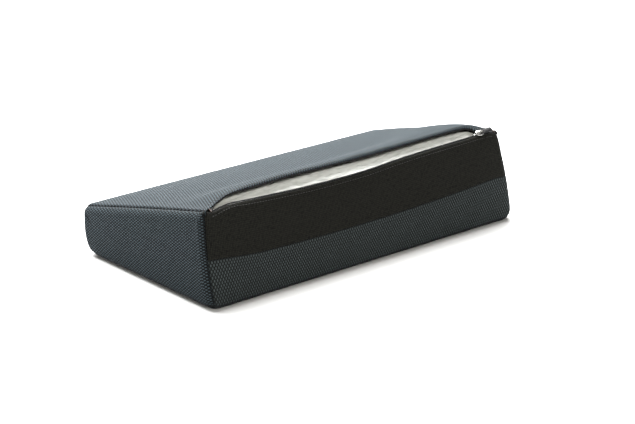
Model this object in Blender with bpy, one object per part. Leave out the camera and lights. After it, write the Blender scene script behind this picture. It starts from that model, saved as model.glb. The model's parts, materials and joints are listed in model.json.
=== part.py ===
"""A wedge-shaped foam cushion in a zip-off woven cover, with its zip drawn open.

Metres, +Z up. The origin is at the middle of the bounding box's base. +X runs along the cushion,
the tall face that holds the zip looks towards -Y, and the thin edge looks towards +Y. The cover, the
zip tapes, the liner and the foam are layers of one wedge, each a little further in than the last.
"""

import math

import bmesh
import bpy
import numpy as np
from mathutils import Matrix, Vector

MM = 0.001

# The wedge, between its unrounded faces.
LENGTH = 400 * MM  # along X at the base
TOP_DEPTH = 201 * MM  # down the sloping top, from the rear edge to the front edge
REAR_HEIGHT = 96.5 * MM  # up the rear face, which stands square to the top
FRONT_HEIGHT = 49.8 * MM
END_LEAN = 6 * MM  # how far each end leans in over the rear height
EDGE_RADIUS = 9 * MM
FORM_SEGMENTS = 4  # facets round each rounded edge
FORM_ROWS = 7  # cuts across the length, over the middle four fifths of it
FORM_CUTS = (0.12, 0.3, 0.5, 0.7, 0.88)  # cuts along the length, as shares of the top's depth

# The swell and the lift of the top.
REAR_LIFT = 4.2 * MM  # how much higher the rear top edge lies at the zip's closed end
TOP_CROWN = 4 * MM  # the swell of the top panel
CROWN_LOST = 0.25  # the share of the swell that is gone at the zip's closed end
CROWN_REACH = 1.1  # the swell starts this much sooner than the depth alone gives
SOFT_HEIGHT = 0.55  # the share of the height over which the swell and the lift come in

# Layers, as depths below the outside of the cover.
COVER = (0.0, 1.2 * MM)
TAPE = (1.5 * MM, 2.1 * MM)
LINER = (2.8 * MM, 3.4 * MM)
FOAM = 3.7 * MM
LINER_FLAT = 8.4 * MM  # the liner and foam stop this far below the unrounded rear top edge
GAP = 0.3 * MM

# Seams of the cover.
END_SEAM = 4 * MM  # from an end face to the seam round it
BOTTOM_SEAM = 3.6 * MM  # height of the seam round the bottom panel
BAND_HEIGHT = 45 * MM  # height of the seam between the rear panels, at the ends
BAND_DIP = 6 * MM  # how far that seam sags in the middle

# The zip.
MOUTH = (-179 * MM, 172.5 * MM)  # where the two rows of coil part and meet
MOUTH_HALF = 5 * MM  # half the gap between the rows in the middle
CLOSED_HALF = 0.15 * MM
COIL_RADIUS = 0.8 * MM
COIL_ENDS = (-182 * MM, 187 * MM)
COIL_DEPTH = 0.4 * MM  # of the coil's centre line
LIP = 2.3 * MM  # from the coil's inner edge to the edge of the panel
TAPE_WIDTH = 10 * MM
TAPE_ENDS = (-188 * MM, 189.5 * MM)
STOP_LENGTH = 1.6 * MM
STOP_ROUNDING = 0.3 * MM
STATIONS = 32  # along the zip
SLOT_STATIONS = 40

# The slider, where it is parked, and the tab on it.
PARKED_X = 167 * MM
SLIDER_LENGTH = 10 * MM
SLIDER_WIDTH = 7 * MM
PLATE = 1.1 * MM
TOP_PLATE_UNDERSIDE = 0.5 * MM  # above the cover's surface on the zip's centre line
BOTTOM_PLATE_TOP = -3.4 * MM
BOTTOM_PLATE = 0.9 * MM
PLATE_ROUNDING = 1.8 * MM
NECK_LENGTH = 3 * MM
NECK_WIDTH = 1.8 * MM
BRIDGE_LENGTH = 8.4 * MM
BRIDGE_WIDTH = 1.6 * MM
BRIDGE_BAR = 1.0 * MM
TAB_THICKNESS = 1.0 * MM
TAB_WIDTH = 5.2 * MM
TAB_LENGTH = 17 * MM
TAB_ARM = 1.1 * MM
TAB_PLAY = 0.3 * MM  # between the tab's end bar and what is above and below it

SLOPE = math.atan2(REAR_HEIGHT - FRONT_HEIGHT, TOP_DEPTH)
COS = math.cos(SLOPE)
SIN = math.sin(SLOPE)
UP = Vector((0, SIN, COS))  # out of the top panel
BACK = Vector((0, -COS, SIN))  # out of the rear panel
OUT = (UP + BACK).normalized()  # out of the rear top edge, where the zip is
ACROSS = Vector((0, OUT.z, -OUT.y))  # across the zip, towards the top panel
ALONG = Vector((1, 0, 0))

REAR_CUT = EDGE_RADIUS * (1 - COS / (1 + SIN))  # what the rounding takes off the rear bottom edge
FRONT_CUT = EDGE_RADIUS * (SIN + COS - 1)
DEPTH = REAR_HEIGHT * SIN + TOP_DEPTH * COS - REAR_CUT - FRONT_CUT
REAR_BOTTOM = Vector((0, -DEPTH / 2 - REAR_CUT, 0))
REAR_TOP = REAR_BOTTOM + Vector((0, REAR_HEIGHT * SIN, REAR_HEIGHT * COS))
FRONT_TOP = REAR_TOP + TOP_DEPTH * Vector((0, COS, -SIN))
TOP_HEIGHT = REAR_TOP.z
LEAN = math.atan2(END_LEAN, TOP_HEIGHT)
ROUND_CENTRE = REAR_TOP - EDGE_RADIUS * (UP + BACK)
FAR = 30 * MM  # how far a cutter runs past what it cuts
GREY = (0.055, 0.065, 0.072)


def clear_scene():
    """Removes whatever the scene holds."""
    for old in list(bpy.data.objects):
        bpy.data.objects.remove(old, do_unlink=True)


def finish(name, colour, roughness, metallic=0.0):
    """A plain material."""
    material = bpy.data.materials.new(name)
    material.use_nodes = True
    shader = material.node_tree.nodes["Principled BSDF"]
    shader.inputs["Base Color"].default_value = (*colour, 1)
    shader.inputs["Roughness"].default_value = roughness
    shader.inputs["Metallic"].default_value = metallic
    return material


def object_of(name, bm, material=None):
    """The bmesh as an object at the origin, with its faces pointing out."""
    bmesh.ops.recalc_face_normals(bm, faces=bm.faces[:])
    mesh = bpy.data.meshes.new(name)
    bm.to_mesh(mesh)
    bm.free()
    made = bpy.data.objects.new(name, mesh)
    bpy.context.collection.objects.link(made)
    if material:
        mesh.materials.append(material)
    return made


def helper(made):
    """Marks an object as a cutter, which is no part of the cushion."""
    made.hide_render = True
    made.display_type = "WIRE"
    return made


def combine(made, other, operation):
    """Adds a Boolean modifier."""
    step = made.modifiers.new(other.name, "BOOLEAN")
    step.operation = operation
    step.object = other


def sloped(s, n, x=0.0):
    """The point s down the top from the rear top edge, n above the top."""
    return REAR_TOP + Vector((x, s * COS, -s * SIN)) + n * UP


def rise(x):
    """How far the rear top edge lies above the wedge's own straight edge at x."""
    return Vector((0, 0, REAR_LIFT * (1 + 2 * x / LENGTH) / 2))


def lifted(point):
    """The point moved up by the swell of the top and the rise of the rear edge."""
    towards_rear = (FRONT_TOP - point).dot(Vector((0, COS, -SIN))) / TOP_DEPTH
    rear_share = min(1.0, max(0.0, towards_rear * CROWN_REACH))
    height_share = min(1.0, max(0.0, point.z / (SOFT_HEIGHT * TOP_HEIGHT)))
    along = 2 * point.x / LENGTH
    lost = along**4 if along < 0 else CROWN_LOST * along**8
    swell = TOP_CROWN * max(0.0, 1 - lost) * math.sin(math.pi * rear_share)
    return point + height_share * (rear_share**2 * rise(point.x) + Vector((0, 0, swell)))


def wedge(inset, ends=None):
    """The eight-cornered wedge with every face moved in by inset, and its two ends by their own."""
    ends = inset if ends is None else ends
    lean_cos = math.cos(LEAN)
    lean_sin = math.sin(LEAN)
    front = Vector((0, COS, -SIN))
    sides = {
        ("x", 1): (Vector((lean_cos, 0, lean_sin)), Vector((LENGTH / 2, 0, 0)), ends),
        ("x", -1): (Vector((-lean_cos, 0, lean_sin)), Vector((-LENGTH / 2, 0, 0)), ends),
        ("y", 1): (front, FRONT_TOP, inset),
        ("y", -1): (BACK, REAR_BOTTOM, inset),
        ("z", 1): (UP, REAR_TOP, inset),
        ("z", -1): (Vector((0, 0, -1)), REAR_BOTTOM, inset),
    }
    bm = bmesh.new()
    bmesh.ops.create_cube(bm, size=2)
    for vert in bm.verts:
        met = [sides[axis, round(value)] for axis, value in zip("xyz", vert.co)]
        normals = np.array([normal for normal, _, _ in met])
        reaches = np.array([normal.dot(point) - depth for normal, point, depth in met])
        vert.co = Vector(np.linalg.solve(normals, reaches))
    return bm


def cushion_form(name, depth):
    """The rounded, swelling outside of the cushion, at this depth below the cover's surface."""
    bm = wedge(depth)
    radius = EDGE_RADIUS - depth
    bmesh.ops.bevel(
        bm, geom=bm.edges[:], offset=radius, segments=FORM_SEGMENTS, profile=0.5, affect="EDGES"
    )
    cuts = [((x, 0, 0), ALONG) for x in np.linspace(-0.4, 0.4, FORM_ROWS) * LENGTH]
    cuts += [(sloped(share * TOP_DEPTH, 0), Vector((0, COS, -SIN))) for share in FORM_CUTS]
    for place, normal in cuts:
        everything = bm.verts[:] + bm.edges[:] + bm.faces[:]
        bmesh.ops.bisect_plane(bm, geom=everything, plane_co=place, plane_no=normal)
    for vert in bm.verts:
        vert.co = lifted(vert.co)
    bmesh.ops.triangulate(bm, faces=bm.faces[:])
    return helper(object_of(name, bm))


def prism(name, outline, push):
    """A cutter: the closed outline, pushed along a vector."""
    bm = bmesh.new()
    face = bm.faces.new([bm.verts.new(point) for point in outline])
    pushed = bmesh.ops.extrude_face_region(bm, geom=[face])
    moved = [item for item in pushed["geom"] if isinstance(item, bmesh.types.BMVert)]
    bmesh.ops.translate(bm, vec=push, verts=moved)
    bmesh.ops.triangulate(bm, faces=bm.faces[:])
    return helper(object_of(name, bm))


def lengthwise(name, outline):
    """A cutter that runs the whole length, from an outline of (s, n) on the section."""
    start = -LENGTH / 2 - FAR
    points = [sloped(s, n, start) for s, n in outline]
    return prism(name, points, (-2 * start, 0, 0))


def box_mesh(low, high):
    """A box between two corners."""
    low = Vector(low)
    high = Vector(high)
    bm = bmesh.new()
    bmesh.ops.create_cube(bm, size=1)
    bmesh.ops.scale(bm, vec=high - low, verts=bm.verts)
    bmesh.ops.translate(bm, vec=(low + high) / 2, verts=bm.verts)
    return bm


def slab(name, low, high):
    """A cutter: a box between two corners."""
    return helper(object_of(name, box_mesh(low, high)))


def half_gap(x):
    """Half the gap between the two rows of coil at x, which is what the open zip's mouth measures."""
    middle = sum(MOUTH) / 2
    share = abs(x - middle) / (MOUTH[1] - middle)
    return max(CLOSED_HALF, MOUTH_HALF * math.sqrt(max(0.0, 1 - share**3)))


def zip_stations(start, end, count=STATIONS):
    """Places along the zip, closer together towards its ends."""
    steps = (0.5 - 0.5 * math.cos(math.pi * i / count) for i in range(count + 1))
    return [start + (end - start) * step for step in steps]


def zip_point(x, across, depth):
    """A point on the rounded rear top edge: across it from its middle, and below its surface."""
    radius = EDGE_RADIUS - depth
    if abs(across) <= radius / math.sqrt(2):
        out = math.sqrt(radius**2 - across**2)
    else:
        out = radius * math.sqrt(2) - abs(across)
    return lifted(ROUND_CENTRE + x * ALONG + across * ACROSS + out * OUT)


def zip_strip(name, stations, inner, outer):
    """A cutter through the rear top edge, between two distances across the zip."""
    base = ROUND_CENTRE - 2 * EDGE_RADIUS * OUT
    near = [base + rise(x) + x * ALONG + inner(x) * ACROSS for x in stations]
    far = [base + rise(x) + x * ALONG + outer(x) * ACROSS for x in reversed(stations)]
    return prism(name, near + far, 5 * EDGE_RADIUS * OUT)


def slot_half(x):
    """Half the width of the slot between the two panels, which narrows to a seam at the left."""
    last_stop = COIL_ENDS[0] - 2 * GAP - STOP_LENGTH
    open_share = min(1.0, max(0.0, (x - TAPE_ENDS[0]) / (last_stop - TAPE_ENDS[0])))
    return GAP / 2 + (half_gap(x) + LIP - GAP / 2) * open_share


def shell(name, layer, material, keep=(), cut=()):
    """One sewn piece: the layer between two depths, inside every block in keep and outside cut."""
    outside, inside = layer
    made = outside.copy()
    made.data = outside.data.copy()
    made.name = name
    made.data.name = name
    made.hide_render = False
    made.display_type = "TEXTURED"
    made.data.materials.append(material)
    bpy.context.collection.objects.link(made)
    combine(made, inside, "DIFFERENCE")
    for block in keep:
        combine(made, block, "INTERSECT")
    for block in cut:
        combine(made, block, "DIFFERENCE")
    return made


def cover_panels():
    """The seven panels of the outer cover."""
    weave = finish("diamond_weave", GREY, 0.85)
    black = finish("black_cloth", (0.014, 0.015, 0.012), 0.9)
    base = finish("base_cloth", (0.03, 0.035, 0.038), 0.9)
    layer = (cushion_form("cover_outside", COVER[0]), cushion_form("cover_inside", COVER[1]))
    side = LENGTH / 2 + FAR
    half = GAP / 2  # each panel stops this far from the middle of its seam
    low = BOTTOM_SEAM - half
    high = BOTTOM_SEAM + half
    under = slab("under_seam", (-side, -side, -FAR), (side, side, low))
    over = slab("over_seam", (-side, -side, high), (side, side, TOP_HEIGHT + FAR))
    wrap = helper(object_of("between_ends", wedge(-FAR, END_SEAM + half)))
    core = helper(object_of("inside_ends", wedge(-FAR, END_SEAM - half)))
    left = slab("left_half", (-side, -side, -FAR), (0, side, TOP_HEIGHT + FAR))
    right = slab("right_half", (0, -side, -FAR), (side, side, TOP_HEIGHT + FAR))

    reach = 2 * EDGE_RADIUS
    deep = -REAR_HEIGHT - 2 * FAR
    top_side = [(-reach, reach + half), (TOP_DEPTH + reach, reach + half)]
    top_side += [(TOP_DEPTH - reach, half - reach), (reach, half - reach)]
    rear_side = [(-reach, reach - half), (reach, -reach - half), (reach, deep)]
    rear_side += [(-2 * FAR, deep), (-2 * FAR, reach - half)]
    front_side = [(TOP_DEPTH - s, n) for s, n in rear_side]
    top_block = lengthwise("top_side", top_side)
    rear_block = lengthwise("rear_side", rear_side)
    front_block = lengthwise("front_side", front_side)

    stations = [-side, *zip_stations(*TAPE_ENDS, SLOT_STATIONS), side]
    slot = zip_strip("zip_slot", stations, lambda x: -slot_half(x), slot_half)

    def band_edge(x, offset):
        """The height of the seam between the rear panels at x, moved by the offset."""
        share = 2 * x / LENGTH
        return BAND_HEIGHT - BAND_DIP * max(0.0, 1 - share**2) + offset

    xs = np.linspace(-side, side, 17)
    band_low = [Vector((x, -side, band_edge(x, -half))) for x in xs]
    band_high = [Vector((x, -side, band_edge(x, half))) for x in xs]
    floor = [Vector((side, -side, -FAR)), Vector((-side, -side, -FAR))]
    ceiling = [Vector((side, -side, 2 * TOP_HEIGHT)), Vector((-side, -side, 2 * TOP_HEIGHT))]
    inward = (0, side, 0)
    band = prism("below_band_seam", band_low + floor, inward)
    above_band = prism("above_band_seam", band_high + ceiling, inward)

    shell("top_panel", layer, weave, keep=(wrap, top_block), cut=(slot,))
    shell("front_panel", layer, weave, keep=(wrap, front_block, over))
    shell("rear_upper_panel", layer, black, keep=(wrap, rear_block, above_band), cut=(slot,))
    shell("rear_lower_band", layer, weave, keep=(wrap, rear_block, band, over))
    shell("left_end_panel", layer, weave, keep=(left, over), cut=(core,))
    shell("right_end_panel", layer, weave, keep=(right, over), cut=(core,))
    shell("bottom_panel", layer, base, keep=(under,))


def zip_tapes():
    """The two woven tapes, sewn under the edges of the panels."""
    cloth = finish("zip_tape", (0.01, 0.01, 0.01), 0.8)
    layer = (cushion_form("tape_outside", TAPE[0]), cushion_form("tape_inside", TAPE[1]))
    stations = zip_stations(*TAPE_ENDS)
    for name, side in (("zip_upper_tape", 1), ("zip_lower_tape", -1)):
        strip = zip_strip(
            name + "_strip",
            stations,
            lambda x, side=side: side * (half_gap(x) + CLOSED_HALF),
            lambda x, side=side: side * (half_gap(x) + TAPE_WIDTH),
        )
        shell(name, layer, cloth, keep=(strip,))


def zip_coils():
    """The two rows of nylon coil, each one round bead on the edge of its tape."""
    nylon = finish("zip_coil", (0.012, 0.012, 0.012), 0.45)
    for name, side in (("zip_upper_coil", 1), ("zip_lower_coil", -1)):
        route = bpy.data.curves.new(name, "CURVE")
        route.dimensions = "3D"
        route.bevel_depth = COIL_RADIUS
        route.bevel_resolution = 2
        route.use_fill_caps = True
        stations = zip_stations(*COIL_ENDS)
        spline = route.splines.new("POLY")
        spline.points.add(len(stations) - 1)
        for point, x in zip(spline.points, stations):
            across = side * (half_gap(x) + COIL_RADIUS)
            point.co = (*zip_point(x, across, COIL_DEPTH), 1)
        route.materials.append(nylon)
        bpy.context.collection.objects.link(bpy.data.objects.new(name, route))


def zip_frame(x):
    """Axes on the zip's centre line: X along it, Y across it, Z out of the cover's surface."""
    axes = Matrix((ALONG, ACROSS, OUT)).transposed().to_4x4()
    return Matrix.Translation(zip_point(x, 0, 0)) @ axes


def block(name, low, high, rounding=0.0, material=None):
    """A box between two corners, with its upright edges rounded."""
    bm = box_mesh(low, high)
    if rounding:
        ends = [(edge, edge.verts[0].co - edge.verts[1].co) for edge in bm.edges]
        upright = [edge for edge, run in ends if abs(run.z) > abs(run.x) + abs(run.y)]
        bmesh.ops.bevel(
            bm, geom=upright, offset=rounding, segments=3, profile=0.5, affect="EDGES"
        )
    return object_of(name, bm, material)


def zip_stops(metal):
    """The stops that end the coils: one across both at the closed end, one each at the other."""
    low = -COIL_DEPTH - COIL_RADIUS
    high = -COIL_DEPTH + COIL_RADIUS
    wide = CLOSED_HALF + 2 * COIL_RADIUS
    last = (0, -wide, low), (STOP_LENGTH, wide, high)
    stop = block("zip_bottom_stop", *last, STOP_ROUNDING, metal)
    stop.matrix_world = zip_frame(COIL_ENDS[1] + GAP)
    for name, side in (("zip_upper_top_stop", 1), ("zip_lower_top_stop", -1)):
        near, far = sorted((side * CLOSED_HALF, side * wide))
        stop = block(name, (-STOP_LENGTH, near, low), (0, far, high), STOP_ROUNDING, metal)
        stop.matrix_world = zip_frame(COIL_ENDS[0] - GAP)


def slider(metal):
    """The slider: two plates joined by a neck between the coils, and a bridge for the tab."""
    joint = bpy.data.objects.new("zip_slide_axis", None)
    bpy.context.collection.objects.link(joint)
    joint.matrix_world = zip_frame(PARKED_X)
    half_length = SLIDER_LENGTH / 2
    half_width = SLIDER_WIDTH / 2
    top = TOP_PLATE_UNDERSIDE + PLATE
    pin_height = top + TAB_PLAY + TAB_THICKNESS / 2
    bar_low = pin_height + TAB_THICKNESS / 2 + TAB_PLAY
    bar_high = bar_low + BRIDGE_BAR
    floor = BOTTOM_PLATE_TOP - BOTTOM_PLATE
    sink = PLATE / 2  # how far joined blocks run into each other

    body = block(
        "zip_slider_body",
        (-half_length, -half_width, TOP_PLATE_UNDERSIDE),
        (half_length, half_width, top),
        PLATE_ROUNDING,
        metal,
    )
    corners = {
        "bottom_plate": (
            (-half_length, -half_width, floor),
            (half_length, half_width, BOTTOM_PLATE_TOP),
        ),
        "neck": (
            (-NECK_LENGTH / 2, -NECK_WIDTH / 2, floor + sink),
            (NECK_LENGTH / 2, NECK_WIDTH / 2, top - sink),
        ),
        "bridge": (
            (-BRIDGE_LENGTH / 2, -BRIDGE_WIDTH / 2, top - sink),
            (BRIDGE_LENGTH / 2, BRIDGE_WIDTH / 2, bar_high),
        ),
    }
    for name, (low, high) in corners.items():
        rounding = PLATE_ROUNDING if name == "bottom_plate" else 0.0
        piece = helper(block("slider_" + name, low, high, rounding))
        piece.parent = joint
        combine(body, piece, "UNION")
    inner = BRIDGE_LENGTH / 2 - BRIDGE_BAR
    eye = helper(
        block("slider_eye", (-inner, -BRIDGE_WIDTH, top), (inner, BRIDGE_WIDTH, bar_low))
    )
    eye.parent = joint
    combine(body, eye, "DIFFERENCE")
    body.parent = joint
    return joint, pin_height


def pull_tab(metal, joint, pin_height):
    """The tab, whose end bar turns under the slider's bridge. It lies towards the closed end."""
    half = TAB_THICKNESS / 2
    tab = block(
        "zip_pull_tab",
        (-half, -TAB_WIDTH / 2, -half),
        (TAB_LENGTH - half, TAB_WIDTH / 2, half),
        0.0,
        metal,
    )
    arm = TAB_WIDTH / 2 - TAB_ARM
    hole_end = BRIDGE_LENGTH / 2 + 2 * TAB_PLAY
    hole = helper(block("tab_hole", (half, -arm, -2 * half), (hole_end, arm, 2 * half)))
    outline = helper(
        block(
            "tab_outline",
            (-FAR, -TAB_WIDTH / 2 - GAP, -2 * half),
            (TAB_LENGTH - half, TAB_WIDTH / 2 + GAP, 2 * half),
            TAB_WIDTH / 2,
        )
    )
    hinge = bpy.data.objects.new("tab_hinge_axis", None)
    bpy.context.collection.objects.link(hinge)
    hinge.parent = joint
    hinge.location = (0, 0, pin_height)
    for piece in (tab, hole, outline):
        piece.parent = hinge
    combine(tab, outline, "INTERSECT")
    combine(tab, hole, "DIFFERENCE")


def filling():
    """The liner, sewn from a wrap and two ends, and the foam wedge in it."""
    cotton = finish("liner_cotton", (0.72, 0.7, 0.64), 0.95)
    foam = finish("foam", (0.82, 0.78, 0.66), 1.0)
    side = LENGTH / 2 + FAR
    layers = [
        cushion_form("liner_outside", LINER[0]),
        cushion_form("liner_inside", LINER[1]),
        cushion_form("foam_core", FOAM),
    ]
    depths = (LINER_FLAT, LINER_FLAT + LINER[1] - LINER[0], LINER_FLAT + FOAM - LINER[0])
    for form, depth in zip(layers, depths):
        start = REAR_TOP - depth * OUT - side * ALONG
        outline = [start + a * ACROSS for a in (-FAR, FAR)]
        outline += [point + 2 * side * ALONG for point in reversed(outline)]
        outline = [point + rise(point.x) for point in outline]
        trim = prism("trim_" + form.name, outline, FAR * OUT)
        combine(form, trim, "DIFFERENCE")
    outside, inside, core = layers
    core.hide_render = False
    core.display_type = "TEXTURED"
    core.data.materials.append(foam)

    wrap = helper(object_of("liner_between_ends", wedge(-FAR, 2 * END_SEAM + GAP / 2)))
    inner = helper(object_of("liner_inside_ends", wedge(-FAR, 2 * END_SEAM - GAP / 2)))
    left = slab("liner_left_half", (-side, -side, -FAR), (0, side, TOP_HEIGHT + FAR))
    right = slab("liner_right_half", (0, -side, -FAR), (side, side, TOP_HEIGHT + FAR))
    pieces = {
        "liner_wrap": ((wrap,), ()),
        "liner_left_end": ((left,), (inner,)),
        "liner_right_end": ((right,), (inner,)),
    }
    for name, (keep, cut) in pieces.items():
        shell(name, (outside, inside), cotton, keep, cut)


def main():
    """Builds the cushion."""
    clear_scene()
    metal = finish("slider_metal", (0.6, 0.6, 0.58), 0.3, 1.0)
    cover_panels()
    zip_tapes()
    zip_coils()
    zip_stops(metal)
    joint, pin_height = slider(metal)
    pull_tab(metal, joint, pin_height)
    filling()


main()
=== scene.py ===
"""A wedge-shaped foam cushion in a zip-off woven cover, with its zip drawn open.

Metres, +Z up. +X runs along the cushion towards the zip's closed end, the tall face that holds the
zip looks towards -Y, and the thin edge looks towards +Y. The cover is drafted as a closed, rounded
wedge that is cut along its seams. The same draft is then eased into shape: the top swells, the two
lips of the zip part and roll back, the cloth puffs out between its seams and sinks along them.
"""

import json
import logging
import math
from collections.abc import Callable, Iterable, Sequence
from dataclasses import dataclass, field
from enum import Enum
from functools import cached_property

import bmesh
import bpy
from mathutils import Matrix, Vector, noise
from mathutils.kdtree import KDTree

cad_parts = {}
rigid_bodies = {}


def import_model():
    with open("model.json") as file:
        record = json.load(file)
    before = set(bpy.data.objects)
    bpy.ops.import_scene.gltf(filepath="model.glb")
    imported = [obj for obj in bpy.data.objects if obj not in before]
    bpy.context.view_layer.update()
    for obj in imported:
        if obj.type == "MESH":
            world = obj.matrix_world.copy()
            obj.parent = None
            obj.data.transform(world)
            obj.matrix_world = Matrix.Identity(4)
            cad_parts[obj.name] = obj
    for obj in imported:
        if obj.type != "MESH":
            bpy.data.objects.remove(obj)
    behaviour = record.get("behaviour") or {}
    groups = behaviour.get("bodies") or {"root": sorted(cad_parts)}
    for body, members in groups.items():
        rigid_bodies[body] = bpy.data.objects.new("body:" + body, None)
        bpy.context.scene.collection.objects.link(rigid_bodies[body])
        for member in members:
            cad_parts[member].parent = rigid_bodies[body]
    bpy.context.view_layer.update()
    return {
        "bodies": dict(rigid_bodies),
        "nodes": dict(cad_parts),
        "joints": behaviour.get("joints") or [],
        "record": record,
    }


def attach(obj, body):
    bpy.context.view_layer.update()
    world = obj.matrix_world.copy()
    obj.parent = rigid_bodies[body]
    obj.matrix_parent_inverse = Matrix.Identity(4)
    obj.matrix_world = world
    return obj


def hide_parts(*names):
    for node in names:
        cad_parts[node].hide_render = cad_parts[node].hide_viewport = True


LOG = logging.getLogger("cushion")
MM = 0.001
MERGE = 1e-6  # cuts closer than this to a vertex, in metres, go through it
HALF_TURN = math.pi
QUARTER_TURN = math.pi / 2


def smooth(share: float) -> float:
    """A soft step from 0 to 1 as the share goes from 0 to 1."""
    share = min(1.0, max(0.0, share))
    return share * share * (3 - 2 * share)


def fading(share: float) -> float:
    """A soft step from 1 to 0 as the share goes from 0 to 1."""
    return 0.5 + 0.5 * math.cos(HALF_TURN * min(1.0, max(0.0, share)))


@dataclass(frozen=True)
class Run:
    """A size that changes smoothly along the zip, through (place, size) pairs in millimetres."""

    points: tuple[tuple[float, float], ...]

    def _slope(self, index: int) -> float:
        """The curve's slope at one of its points.

        Args:
            index: which point.

        Returns:
            Millimetres of size for each millimetre of place.
        """
        before = self.points[max(0, index - 1)]
        after = self.points[min(len(self.points) - 1, index + 1)]
        return (after[1] - before[1]) / (after[0] - before[0])

    def __call__(self, x: float) -> float:
        """The size at a place.

        Args:
            x: the place along the zip, in metres.

        Returns:
            The size there, in metres.
        """
        place = x / MM
        if place <= self.points[0][0]:
            return self.points[0][1] * MM
        if place >= self.points[-1][0]:
            return self.points[-1][1] * MM
        index = max(i for i, point in enumerate(self.points) if point[0] <= place)
        (x0, y0), (x1, y1) = self.points[index], self.points[index + 1]
        span = x1 - x0
        t = (place - x0) / span
        low = (2 * t**3 - 3 * t**2 + 1) * y0 + (t**3 - 2 * t**2 + t) * span * self._slope(index)
        high = (3 * t**2 - 2 * t**3) * y1 + (t**3 - t**2) * span * self._slope(index + 1)
        return (low + high) * MM


class Panel(Enum):
    """The seven sewn panels of the cover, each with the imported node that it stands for."""

    TOP = "top_panel"
    FRONT = "front_panel"
    LEFT_END = "left_end_panel"
    RIGHT_END = "right_end_panel"
    REAR_BLACK = "rear_upper_panel"
    REAR_BAND = "rear_lower_band"
    BOTTOM = "bottom_panel"


class Side(Enum):
    """The two sides of the zip."""

    UPPER = 1
    LOWER = -1


# ---------------------------------------------------------------- shaders


class Number:
    """A number in a shader, on which Python's own arithmetic adds Math nodes."""

    def __init__(self, shade: "Shade", socket: bpy.types.NodeSocket) -> None:
        """Wraps an output socket."""
        self.shade = shade
        self.socket = socket

    def _with(self, operation: str, *values: "Number | float") -> "Number":
        """The result of a Math node on the values.

        Args:
            operation: the Math node's operation.
            values: the numbers it works on.

        Returns:
            The number that the node gives.
        """
        inputs = {i: value for i, value in enumerate(values)}
        made = self.shade.node("ShaderNodeMath", {"operation": operation}, inputs)
        return Number(self.shade, made.outputs[0])

    def __add__(self, other: "Number | float") -> "Number":
        """Self + other."""
        return self._with("ADD", self, other)

    def __mul__(self, other: "Number | float") -> "Number":
        """Self * other."""
        return self._with("MULTIPLY", self, other)

    def __sub__(self, other: "Number | float") -> "Number":
        """Self - other."""
        return self._with("SUBTRACT", self, other)

    def __rsub__(self, other: float) -> "Number":
        """Other - self."""
        return self._with("SUBTRACT", other, self)

    __radd__ = __add__
    __rmul__ = __mul__

    def cosine(self) -> "Number":
        """Its cosine."""
        return self._with("COSINE", self)

    def size(self) -> "Number":
        """Its absolute value."""
        return self._with("ABSOLUTE", self)

    def between(self, low: float, high: float) -> "Number":
        """A soft step from 0 to 1 as it goes from low to high.

        Args:
            low: where the step starts.
            high: where it ends.

        Returns:
            The step, from 0 to 1.
        """
        settings = {"interpolation_type": "SMOOTHSTEP"}
        made = self.shade.node("ShaderNodeMapRange", settings, {0: self, 1: low, 2: high})
        return Number(self.shade, made.outputs[0])


Colour = tuple[float, float, float]


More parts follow.
